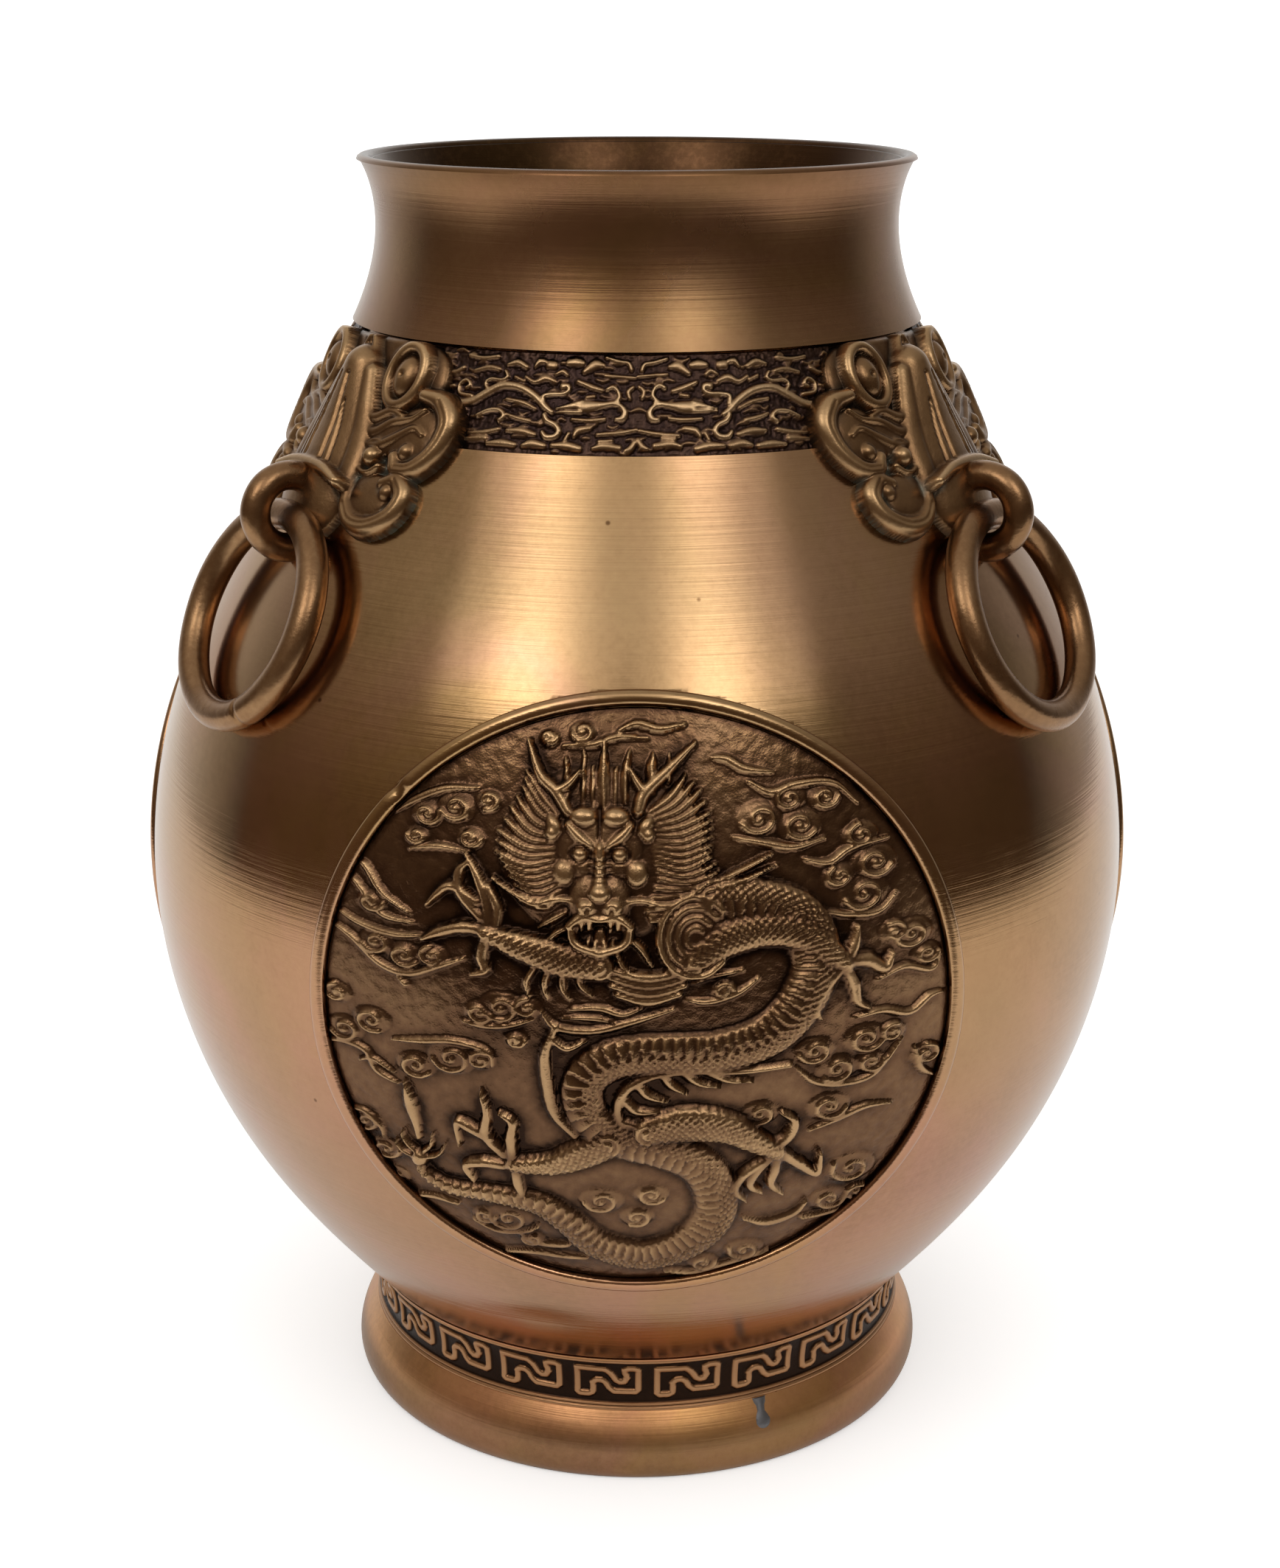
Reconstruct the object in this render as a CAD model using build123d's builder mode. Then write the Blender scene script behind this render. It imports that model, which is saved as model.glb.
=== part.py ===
import os
from math import atan2, cos, radians, sin, sqrt, tan

from build123d import *

os.makedirs("parts", exist_ok=True)

# Bronze hu vase with three roundels and three beast-mask ring handles.
# Millimetres, +Z up, origin at the centre of the foot on the table.
# The front roundel faces -Y, and azimuths turn from -Y towards +X.

# Heights of the castings, stacked from the table up
foot_height = 40.0
belly_height = 284.7
frieze_height = 26.7
neck_height = 48.6

# Belly: radius, and rise above the foot joint, of the points its outline passes through
belly_foot_radius = 90.5
belly_low_radius = 132.3
belly_low_rise = 55.0
belly_radius = 155.6
belly_rise = 141.0
belly_high_radius = 136.7
belly_high_rise = 220.0
shoulder_radius = 99.8
belly_foot_slope = 42.0
shoulder_slope = -28.0
belly_wall = 3.8

# Frieze: cast panels let into a rebate between the shoulder and the neck
frieze_thickness = 3.0
frieze_ground = 1.6
frieze_backing = 3.0
frieze_clearance = 0.1
frieze_gap_angle = 17.0

# Neck collar
neck_joint_radius = 87.1
neck_waist_radius = 79.6
neck_waist_rise = 33.0
lip_radius = 84.6
lip_thickness = 4.2
neck_wall = 4.0
neck_joint_slope = -26.0
lip_slope = 33.0
lip_round = 1.4

# Foot ring: rolled edge, then a hollow waist with a rebate for the fret band
foot_edge_radius = 92.3
foot_roll_radius = 95.4
foot_roll_rise = 5.0
foot_neck_radius = 90.2
foot_neck_rise = 15.0
foot_waist_radius = 84.8
foot_waist_rise = 28.6
foot_wall = 5.5
foot_flange_radius = 74.0
foot_flange_thickness = 4.0
base_thickness = 3.2
base_clearance = 0.25

# Fret band: a sleeve with raised border lines and raised key frets
fret_low_rise = 19.6
fret_low_radius = 87.6
fret_height = 19.6
fret_depth = 1.9
fret_sleeve = 0.9
fret_border_width = 1.7
fret_count = 22
fret_unit_width = 22.4
fret_unit_height = 10.6
fret_line_width = 1.6

# Roundels, each let into a round seat in the belly behind a bevelled bead
roundel_azimuths = {"front": 0.0, "right": 120.0, "left": -120.0}
roundel_radius = 87.6
roundel_rise = 136.0
roundel_seat_depth = 1.9
roundel_ground_depth = 0.7
roundel_clearance = 0.15
bead_width = 4.0
bead_height = 2.0
bead_bevel = 1.1

# Dragon on each roundel: centre lines as across, up and half width from the roundel's middle,
# and ovals as across, up, half width and half height
relief_root = 0.5
relief_margin = 1.0
body_crown = 1.5
leg_crown = 2.2
paw_crown = 1.8
mane_crown = 1.2
horn_crown = 2.6
skull_crown = 2.9
muzzle_crown = 3.5
nose_crown = 4.3
cloud_crown = 0.4
dragon_body = (
    (20, 38, 6.0),
    (33, 36.5, 6.6),
    (45, 30, 6.8),
    (48.5, 17, 6.6),
    (39, 1, 6.3),
    (20, -5, 6.0),
    (0, -5.5, 5.8),
    (-14, -13, 5.8),
    (-12, -27, 5.8),
    (5, -36, 5.8),
    (19, -43.5, 6.0),
    (22, -58, 6.0),
    (12, -73, 5.8),
    (-4, -75.5, 5.3),
    (-18, -65, 4.4),
    (-32, -55.5, 3.3),
    (-48, -54.5, 2.3),
    (-61.5, -46, 1.2),
)
dragon_legs = (
    ((15, 22, 4.0), (26, 28, 5.0), (44, 27, 4.4), (57, 17, 2.2)),
    ((-10, 20.5, 4.0), (-20, 22, 4.8), (-32, 25.5, 3.8), (-42, 28.5, 2.2)),
    ((3, -29, 4.5), (14, -27, 5.6), (28, -30.5, 4.4), (39, -38.5, 2.4)),
    ((-8, -33, 4.8), (-17, -38, 4.4), (-26, -41.5, 3.0), (-36, -42, 2.2)),
)
dragon_paws = ((58, 16, 5.0, 5.4), (-43, 29, 5.4, 5.2), (40, -39, 5.2, 5.0), (-37, -41.5, 5.0, 5.4))
dragon_mane = (
    ((-17, 55, 3.0), (-25, 62, 3.4), (-30, 70, 0.5)),
    ((-17, 52, 3.0), (-28, 54.5, 3.6), (-37, 59, 0.5)),
    ((-17, 47, 3.0), (-29, 47, 3.4), (-38, 50, 0.5)),
    ((-15, 40, 2.6), (-25, 39, 3.0), (-33, 41, 0.5)),
    ((-2, 56, 3.0), (9, 62.5, 3.4), (17, 69, 0.5)),
    ((-2, 53, 3.0), (11, 54.5, 3.4), (21, 59, 0.5)),
    ((-2, 48, 3.0), (12, 47.5, 3.2), (21, 50, 0.5)),
    ((-4, 40, 2.6), (12, 38.5, 3.2), (24, 41, 0.5)),
    ((-10, 60, 2.0), (-9, 70, 1.8), (-8.7, 79, 0.5)),
)
dragon_horns = (
    ((-17, 59, 1.7), (-22, 67, 1.8), (-28.7, 78.5, 0.6)),
    ((-22, 66, 1.4), (-18.5, 68, 1.2), (-15, 71.3, 0.5)),
    ((-1, 59.5, 1.7), (3, 67, 1.8), (15.5, 78.3, 0.6)),
    ((2.5, 66, 1.4), (0, 68.7, 1.2), (-1.9, 72, 0.5)),
)
dragon_skull = ((-10, 53, 12.0, 10.5), (-10, 29.5, 8.6, 6.6))
dragon_muzzle = ((-10, 38.5, 8.0, 8.0), (-14.1, 59.8, 3.7, 2.6), (-5.5, 59.8, 3.7, 2.6))
dragon_nose = ((-10, 40.4, 2.9, 2.5), (-15, 50.4, 2.3, 2.1), (-4.6, 50.4, 2.3, 2.1))
roundel_clouds = (
    (-52, 58.5, 9.5, 5.0),
    (-64, 20, 13.0, 6.0),
    (-37, 6.5, 10.0, 5.0),
    (-78, -4, 7.0, 7.5),
    (-55, -11.5, 13.0, 6.5),
    (-68.5, -40.5, 6.0, 8.0),
    (-39, -64, 9.0, 5.0),
    (-3, -55.5, 11.0, 7.5),
    (40, 58.5, 13.0, 7.5),
    (63, 41, 8.5, 11.0),
    (76, 20, 7.0, 6.5),
    (59, -9, 15.5, 9.0),
    (54, -26.5, 6.5, 5.0),
    (57, -52, 8.0, 9.0),
    (25, -76.5, 10.0, 4.2),
)

# Handles: beast mask, fixed loop and loose ring, with rises measured from the shoulder
handle_azimuths = {"left": -56.0, "right": 56.0, "back": 180.0}
mask_top_gap = 0.6
mask_plate = 3.4
mask_outline = (
    (33.0, 17.3),
    (40.0, 8.3),
    (38.0, -6.7),
    (33.0, -18.7),
    (22.0, -24.2),
    (10.0, -18.7),
    (0.0, -16.7),
)
brow_half_width = 22.0
snout_sections = ((24.3, 5.0, 3.6), (11.3, 9.0, 7.0), (-2.7, 14.0, 11.0), (-15.7, 16.5, 12.5))
eye_spread = 20.5
eye_rise = 16.3
eye_radius = 7.4
eye_sink = 0.6
eye_ring_radius = 8.4
eye_ring_bar = 3.6
curl_bar = 6.0
curl_ball = 3.6
cheek_spread = 28.5
cheek_rise = 3.3
cheek_radius = 9.5
cheek_start = -110.0
cheek_sweep = 190.0
jaw_spread = 22.0
jaw_rise = -15.2
jaw_radius = 7.5
jaw_start = 175.0
jaw_sweep = 215.0
nostril_spread = 17.0
nostril_rise = -6.7
nostril_lift = 6.5
loop_rise = -25.7
loop_standoff = 8.2
loop_radius = 10.5
loop_bar = 8.6
ring_radius = 30.6
ring_bar = 9.2
ring_slack = 1.1
ring_rest_gap = 0.3

shoulder_height = foot_height + belly_height
neck_joint_height = shoulder_height + frieze_height
lip_height = neck_joint_height + neck_height
fret_high_rise = fret_low_rise + fret_height
roundel_height = foot_height + roundel_rise
mask_top = neck_joint_height - mask_top_gap
frieze_slope = atan2(neck_joint_radius - shoulder_radius, frieze_height)


def heading(slope):
    """Upward direction that leans outwards by slope degrees."""
    return (sin(radians(slope)), cos(radians(slope)))


# Outlines, drawn as radius against height
with BuildLine() as belly_line:
    belly_edge = Spline(
        (belly_foot_radius, foot_height),
        (belly_low_radius, foot_height + belly_low_rise),
        (belly_radius, foot_height + belly_rise),
        (belly_high_radius, foot_height + belly_high_rise),
        (shoulder_radius, shoulder_height),
        tangents=(heading(belly_foot_slope), heading(shoulder_slope)),
    )
with BuildLine() as waist_line:
    waist_edge = ThreePointArc(
        (fret_low_radius, fret_low_rise),
        (foot_waist_radius, foot_waist_rise),
        (belly_foot_radius, foot_height),
    )
with BuildLine() as neck_line:
    neck_edge = Spline(
        (neck_joint_radius, neck_joint_height),
        (neck_waist_radius, neck_joint_height + neck_waist_rise),
        (lip_radius, lip_height),
        tangents=(heading(neck_joint_slope), heading(lip_slope)),
    )


def shifted(edge, distance, spans=12):
    """Points of an outline moved outwards by distance."""
    points = []
    for step in range(spans + 1):
        place = edge @ (step / spans)
        along = edge % (step / spans)
        points.append((place.X + distance * along.Y, place.Y - distance * along.X))
    return points


def share_at(edge, height):
    """Share along an outline at which it reaches a height."""
    low, high = 0.0, 1.0
    for _ in range(40):
        middle = (low + high) / 2
        if (edge @ middle).Y < height:
            low = middle
        else:
            high = middle
    return low


def belly_core(distance):
    """Belly and frieze filled to the axis, grown outwards by distance."""
    with BuildPart() as core:
        with BuildSketch(Plane.XZ):
            with BuildLine():
                outer = Spline(
                    *shifted(belly_edge, distance),
                    tangents=(belly_edge % 0, belly_edge % 1),
                )
                Polyline(
                    outer @ 1,
                    (neck_joint_radius + distance / cos(frieze_slope), neck_joint_height),
                    (0, neck_joint_height),
                    (0, (outer @ 0).Y),
                    outer @ 0,
                )
            make_face()
        revolve(axis=Axis.Z)
    return core.part


def waist_core(distance, low, high):
    """Slice of the foot's waist filled to the axis, grown outwards by distance."""
    with BuildPart() as core:
        with BuildSketch(Plane.XZ):
            with BuildLine():
                outer = ThreePointArc(*shifted(waist_edge, distance, spans=2))
                Polyline(outer @ 1, (0, (outer @ 1).Y), (0, (outer @ 0).Y), outer @ 0)
            make_face()
        revolve(axis=Axis.Z)
        with BuildSketch(Plane.XY.offset(low)):
            Circle(2 * foot_roll_radius)
        extrude(amount=high - low, mode=Mode.INTERSECT)
    return core.part


def radial_plane(azimuth):
    """Plane through the axis: local x runs outwards at the azimuth, local y runs up."""
    turn = radians(azimuth)
    return Plane((0, 0, 0), x_dir=(sin(turn), -cos(turn), 0), z_dir=(-cos(turn), -sin(turn), 0))


def frieze_arc(back, face, inset, start, end):
    """Frieze layer between two depths below its outer cone, inset at its edges, over an arc."""
    low = shoulder_height + inset
    high = neck_joint_height - inset
    low_radius = shoulder_radius + inset * tan(frieze_slope)
    high_radius = neck_joint_radius - inset * tan(frieze_slope)
    with BuildPart() as arc:
        with BuildSketch(radial_plane(start)):
            with BuildLine():
                Polyline(
                    (low_radius - back / cos(frieze_slope), low),
                    (low_radius - face / cos(frieze_slope), low),
                    (high_radius - face / cos(frieze_slope), high),
                    (high_radius - back / cos(frieze_slope), high),
                    close=True,
                )
            make_face()
        revolve(axis=Axis.Z, revolution_arc=end - start)
    return arc.part


def front_plane(lateral, rise):
    """Plane on the front, at a rise above the shoulder: local z stands square to the surface."""
    if rise < 0:
        share = share_at(belly_edge, shoulder_height + rise)
        radius = (belly_edge @ share).X
        lean = atan2((belly_edge % share).X, (belly_edge % share).Y)
    else:
        radius = shoulder_radius + rise * tan(frieze_slope)
        lean = frieze_slope
    depth = sqrt(radius**2 - lateral**2)
    outward = (lateral / radius * cos(lean), -depth / radius * cos(lean), -sin(lean))
    place = (lateral, -depth, shoulder_height + rise)
    return Plane(place, x_dir=(depth / radius, lateral / radius, 0), z_dir=outward)


def add_curl(side, spread, rise, radius, start, sweep):
    """Round-bar scroll lying on the mask plate, ending in a ball; side -1 is its mirror image."""
    plane = front_plane(side * spread, rise).offset(mask_plate)
    first = start if side > 0 else 180 - start
    last = first + sweep * side
    with Locations(plane):
        Torus(radius, curl_bar / 2, major_angle=sweep, rotation=(0, 0, min(first, last)))
    for angle, ball in ((first, curl_ball), (last, curl_bar / 2)):
        end = Location((radius * cos(radians(angle)), radius * sin(radians(angle)), 0))
        with Locations(plane.location * end):
            Sphere(ball)


def outline_band(points):
    """Closed outline of a tapering band on the roundel, along its centre line."""
    left, right = [], []
    for place, (across, up, half_width) in enumerate(points):
        before = points[max(place - 1, 0)]
        after = points[min(place + 1, len(points) - 1)]
        turn = atan2(after[1] - before[1], after[0] - before[0])
        shift = (half_width * sin(turn), -half_width * cos(turn))
        left.append((across - shift[0], roundel_height + up - shift[1]))
        right.append((across + shift[0], roundel_height + up + shift[1]))
    left_edge = Spline(*left)
    right_edge = Spline(*right)
    Line(left_edge @ 0, right_edge @ 0)
    Line(left_edge @ 1, right_edge @ 1)


def relief(crown, bands=(), ovals=()):
    """Bands and ovals rooted in the roundel, with tops at a height off the belly."""
    with BuildPart() as form:
        with BuildSketch(Plane.XZ):
            for points in bands:
                with BuildLine():
                    outline_band(points)
                make_face()
            for across, up, half_width, half_height in ovals:
                with Locations((across, roundel_height + up)):
                    Ellipse(half_width, half_height)
            with Locations((0, roundel_height)):
                Circle(roundel_radius - relief_margin, mode=Mode.INTERSECT)
        extrude(amount=belly_radius + nose_crown)
        add(belly_core(crown), mode=Mode.INTERSECT)
        add(belly_core(-roundel_ground_depth - relief_root), mode=Mode.SUBTRACT)
    return form.part


def save(part, name):
    """Label a finished piece and write it."""
    part.label = name
    export_step(part, f"parts/{name}.step")


# Neck collar: plain flared tube that overhangs the frieze
belly_top_radius = neck_joint_radius - (frieze_thickness + frieze_backing) / cos(frieze_slope)
with BuildPart() as neck_collar:
    with BuildSketch(Plane.XZ):
        with BuildLine():
            outer = Spline(*shifted(neck_edge, 0), tangents=(neck_edge % 0, neck_edge % 1))
            inner = Spline(
                (lip_radius - lip_thickness, lip_height),
                (neck_waist_radius - neck_wall, neck_joint_height + neck_waist_rise),
                (belly_top_radius, neck_joint_height),
            )
            Line(outer @ 1, inner @ 0)
            Line(inner @ 1, outer @ 0)
        make_face()
    revolve(axis=Axis.Z)
    fillet(neck_collar.edges().group_by(Axis.Z)[-1], radius=lip_round)
save(neck_collar.part, "neck_collar")

# Belly shell, with the rebate for the frieze and three round seats
seat_floor = belly_core(-roundel_seat_depth)
with BuildPart() as seat:
    with BuildSketch(Plane.XZ):
        with Locations((0, roundel_height)):
            Circle(roundel_radius + roundel_clearance)
    extrude(amount=belly_radius + bead_height)
    add(seat_floor, mode=Mode.SUBTRACT)
with BuildPart() as belly_shell:
    with BuildSketch(Plane.XZ):
        with BuildLine():
            outer = Spline(*shifted(belly_edge, 0), tangents=(belly_edge % 0, belly_edge % 1))
            inner = Spline(
                *shifted(belly_edge, -belly_wall),
                tangents=(belly_edge % 0, belly_edge % 1),
            )
            rebate = frieze_thickness / cos(frieze_slope)
            Polyline(
                outer @ 1,
                (shoulder_radius - rebate, shoulder_height),
                (neck_joint_radius - rebate, neck_joint_height),
                (belly_top_radius, neck_joint_height),
                inner @ 1,
            )
            Polyline(inner @ 0, ((inner @ 0).X, foot_height), outer @ 0)
        make_face()
    revolve(axis=Axis.Z)
    for azimuth in roundel_azimuths.values():
        add(seat.part.rotate(Axis.Z, azimuth), mode=Mode.SUBTRACT)
save(belly_shell.part, "belly_shell")

# Roundels and their beads
belly_solid = belly_core(0)
with BuildPart() as roundel_blank:
    with BuildSketch(Plane.XZ):
        with Locations((0, roundel_height)):
            Circle(roundel_radius)
    extrude(amount=belly_radius + bead_height)
    add(belly_core(-roundel_ground_depth), mode=Mode.INTERSECT)
    add(seat_floor, mode=Mode.SUBTRACT)
    add(relief(cloud_crown, ovals=roundel_clouds), clean=False)
    add(relief(body_crown, bands=[dragon_body]), clean=False)
    add(relief(mane_crown, bands=dragon_mane), clean=False)
    add(relief(leg_crown, bands=dragon_legs), clean=False)
    add(relief(paw_crown, ovals=dragon_paws), clean=False)
    add(relief(skull_crown, ovals=dragon_skull), clean=False)
    add(relief(horn_crown, bands=dragon_horns), clean=False)
    add(relief(muzzle_crown, ovals=dragon_muzzle), clean=False)
    add(relief(nose_crown, ovals=dragon_nose), clean=False)
with BuildPart() as bead_blank:
    with BuildSketch(Plane.XZ):
        with Locations((0, roundel_height)):
            Circle(roundel_radius + roundel_clearance + bead_width)
            Circle(roundel_radius + roundel_clearance, mode=Mode.SUBTRACT)
    extrude(amount=belly_radius + 2 * bead_height)
    add(belly_core(bead_height), mode=Mode.INTERSECT)
    add(belly_solid, mode=Mode.SUBTRACT)
    crown = bead_blank.faces().filter_by(GeomType.CYLINDER, reverse=True).sort_by(Axis.Y)[0]
    chamfer(crown.edges(), length=bead_bevel)
for name, azimuth in roundel_azimuths.items():
    with BuildPart() as roundel:
        add(roundel_blank.part.rotate(Axis.Z, azimuth))
    save(roundel.part, f"roundel_{name}")
    with BuildPart() as bead:
        add(bead_blank.part.rotate(Axis.Z, azimuth))
    save(bead.part, f"roundel_bead_{name}")

# Foot ring and base plate
fret_back = waist_core(-fret_depth, fret_low_rise, fret_high_rise)
with BuildPart() as fret_rebate:
    with BuildSketch(Plane.XY.offset(fret_low_rise)):
        Circle(2 * foot_roll_radius)
    extrude(amount=fret_height)
    add(fret_back, mode=Mode.SUBTRACT)
with BuildPart() as foot_ring:
    with BuildSketch(Plane.XZ):
        with BuildLine():
            waist = ThreePointArc(*shifted(waist_edge, 0, spans=2))
            roll = Spline(
                (foot_edge_radius, 0),
                (foot_roll_radius, foot_roll_rise),
                (foot_neck_radius, foot_neck_rise),
                waist @ 0,
            )
            flange_low = foot_height - foot_flange_thickness
            Polyline(
                waist @ 1,
                (foot_flange_radius, foot_height),
                (foot_flange_radius, flange_low),
                (foot_waist_radius - foot_wall, flange_low),
                (foot_waist_radius - foot_wall, foot_waist_rise),
                (foot_edge_radius - foot_wall, 0),
                roll @ 0,
            )
        make_face()
    revolve(axis=Axis.Z)
    add(fret_rebate.part, mode=Mode.SUBTRACT)
save(foot_ring.part, "foot_ring")

with BuildPart() as base_plate:
    with BuildSketch(Plane.XY.offset(foot_height)):
        Circle(shifted(belly_edge, -belly_wall)[0][0] - base_clearance)
    extrude(amount=base_thickness)
save(base_plate.part, "base_plate")

# Fret band: corners of one key fret, as shares of its width and height
fret_corners = (
    (0, 1),
    (0.5, 1),
    (0.6, 0.56),
    (0.74, 0.56),
    (0.84, 1),
    (1, 1),
    (1, 0.1),
    (0.57, 0.1),
    (0.45, 0.56),
    (0.32, 0.56),
    (0.24, 0),
    (0, 0),
)
fret_middle = fret_low_rise + fret_height / 2
with BuildPart() as fret_unit:
    with BuildSketch(Plane.XZ):
        with BuildLine() as fret_path:
            Polyline(
                *[
                    ((across - 0.5) * fret_unit_width, fret_middle + (up - 0.5) * fret_unit_height)
                    for across, up in fret_corners
                ],
                close=True,
            )
        trace(fret_path.line, fret_line_width)
    extrude(amount=foot_roll_radius)
    add(waist_core(0, fret_low_rise, fret_high_rise), mode=Mode.INTERSECT)
    add(fret_back, mode=Mode.SUBTRACT)
with BuildPart() as fret_band:
    add(waist_core(fret_sleeve - fret_depth, fret_low_rise, fret_high_rise))
    add(waist_core(0, fret_low_rise, fret_low_rise + fret_border_width))
    add(waist_core(0, fret_high_rise - fret_border_width, fret_high_rise))
    add(fret_back, mode=Mode.SUBTRACT)
    with PolarLocations(0, fret_count):
        add(fret_unit.part, clean=False)
save(fret_band.part, "fret_band")

# Frieze panels between the masks
frieze_spans = {
    "front": (handle_azimuths["left"], handle_azimuths["right"]),
    "right": (handle_azimuths["right"], handle_azimuths["back"]),
    "left": (handle_azimuths["back"] - 360, handle_azimuths["left"]),
}
frieze_panels = []
for name, (start, end) in frieze_spans.items():
    with BuildPart() as frieze_panel:
        add(
            frieze_arc(
                frieze_thickness - frieze_clearance,
                frieze_ground,
                frieze_clearance,
                start + frieze_gap_angle,
                end - frieze_gap_angle,
            )
        )
    save(frieze_panel.part, f"frieze_panel_{name}")
    frieze_panels.append(frieze_panel.part)

# Loop and ring places, worked out on the front of the vase
loop_plane = front_plane(0, loop_rise).offset(loop_standoff)
pivot_reach = -loop_plane.origin.Y
pivot_height = loop_plane.origin.Z - ring_slack
low_lean, high_lean = 0.0, 60.0
for _ in range(30):
    ring_lean = (low_lean + high_lean) / 2
    foot_reach = pivot_reach + 2 * ring_radius * sin(radians(ring_lean))
    foot_rise = pivot_height - 2 * ring_radius * cos(radians(ring_lean))
    inside = foot_reach < (belly_edge @ share_at(belly_edge, foot_rise)).X
    room = belly_edge.distance_to(Vertex(foot_reach, foot_rise, 0)) - ring_bar / 2
    if inside or room < ring_rest_gap:
        low_lean = ring_lean
    else:
        high_lean = ring_lean
print(f"ring pivot radius {pivot_reach:.3f} height {pivot_height:.3f} lean {ring_lean:.3f}")

with BuildPart() as loop_blank:
    with Locations(Location(loop_plane.origin, (0, 90, 0))):
        Torus(loop_radius, loop_bar / 2)
    add(belly_solid, mode=Mode.SUBTRACT)
with BuildPart() as ring_blank:
    ring_reach = pivot_reach + ring_radius * sin(radians(ring_lean))
    ring_height = pivot_height - ring_radius * cos(radians(ring_lean))
    with Locations(Location((0, -ring_reach, ring_height), (90 - ring_lean, 0, 0))):
        Torus(ring_radius, ring_bar / 2)

# Beast mask on the front of the vase: plate, snout, eyes and curls
with BuildPart() as snout:
    for rise, half_width, proud in snout_sections:
        with BuildSketch(Plane.XY.offset(shoulder_height + rise)):
            with Locations((0, front_plane(0, rise).origin.Y)):
                Ellipse(half_width, proud)
    loft()
with BuildPart() as mask_curls:
    for side in (-1, 1):
        add_curl(side, cheek_spread, cheek_rise, cheek_radius, cheek_start, cheek_sweep)
        add_curl(side, jaw_spread, jaw_rise, jaw_radius, jaw_start, jaw_sweep)
        with Locations(front_plane(side * nostril_spread, nostril_rise).offset(nostril_lift)):
            Sphere(curl_ball)
with BuildPart() as mask_ground:
    add(belly_solid)
    add(frieze_arc(frieze_thickness, 0, 0, 0, 360), mode=Mode.SUBTRACT)
    add(frieze_panels)
with BuildPart() as mask_blank:
    with BuildSketch(Plane.XZ):
        with BuildLine():
            mask_edge = Spline(
                (0, mask_top),
                (brow_half_width, mask_top),
                *[(half_width, shoulder_height + rise) for half_width, rise in mask_outline],
            )
            Line(mask_edge @ 1, mask_edge @ 0)
        make_face()
        mirror(about=Plane.YZ)
    extrude(amount=belly_radius)
    add(belly_core(mask_plate), mode=Mode.INTERSECT)
    add(snout.part)
    add(mask_curls.part)
    for side in (-1, 1):
        with Locations(front_plane(side * eye_spread, eye_rise).offset(-eye_sink)):
            Sphere(eye_radius)
        with Locations(front_plane(side * eye_spread, eye_rise).offset(mask_plate)):
            Torus(eye_ring_radius, eye_ring_bar / 2)
    add(mask_ground.part, mode=Mode.SUBTRACT)
    add(loop_blank.part, mode=Mode.SUBTRACT)
for name, azimuth in handle_azimuths.items():
    with BuildPart() as mask:
        add(mask_blank.part.rotate(Axis.Z, azimuth))
    save(mask.part, f"mask_{name}")
    with BuildPart() as loop:
        add(loop_blank.part.rotate(Axis.Z, azimuth))
    save(loop.part, f"loop_{name}")
    with BuildPart() as ring:
        add(ring_blank.part.rotate(Axis.Z, azimuth))
    save(ring.part, f"ring_{name}")
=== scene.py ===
import math

import bmesh
import bpy
import numpy as np
from mathutils import Matrix, Vector


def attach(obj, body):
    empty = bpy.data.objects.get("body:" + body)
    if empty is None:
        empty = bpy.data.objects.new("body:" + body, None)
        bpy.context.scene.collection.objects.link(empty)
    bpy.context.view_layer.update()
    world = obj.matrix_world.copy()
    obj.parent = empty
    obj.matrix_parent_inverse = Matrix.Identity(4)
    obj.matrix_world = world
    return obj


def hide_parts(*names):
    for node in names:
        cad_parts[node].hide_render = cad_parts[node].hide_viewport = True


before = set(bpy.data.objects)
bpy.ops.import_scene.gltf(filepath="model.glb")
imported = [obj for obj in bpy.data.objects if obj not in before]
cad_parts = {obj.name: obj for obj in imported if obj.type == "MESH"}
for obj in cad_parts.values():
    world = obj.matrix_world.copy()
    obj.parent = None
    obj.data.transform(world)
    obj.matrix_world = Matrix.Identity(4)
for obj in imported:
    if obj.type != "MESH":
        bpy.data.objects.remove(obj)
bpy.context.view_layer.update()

mm = 0.001
print("stage: frame loaded")

# Outlines of the castings, in millimetres, as radius and height, with the lean of their ends in degrees
form = {
    "belly": [(90.5, 40), (132.3, 95), (155.6, 181), (136.7, 260), (99.8, 324.7)],
    "bellyLeans": (42, -28),
    "neck": [(87.1, 351.4), (79.6, 384.4), (84.6, 400)],
    "neckLeans": (-26, 33),
    "bellyWall": 3.8,
    "friezeThickness": 3.0,
    "friezeBacking": 3.0,
    "roundelRadius": 87.6,
    "roundelHeight": 176.0,
    "roundelTurns": {"front": 0.0, "right": 120.0, "left": -120.0},
    "handleTurns": {"left": -56.0, "right": 56.0, "back": 180.0},
}
footHeight = form["belly"][0][1]
shoulderRadius, shoulderHeight = form["belly"][-1]
(neckRadius, neckHeight), (waistRadius, waistHeight), (lipRadius, lipHeight) = form["neck"]


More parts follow.
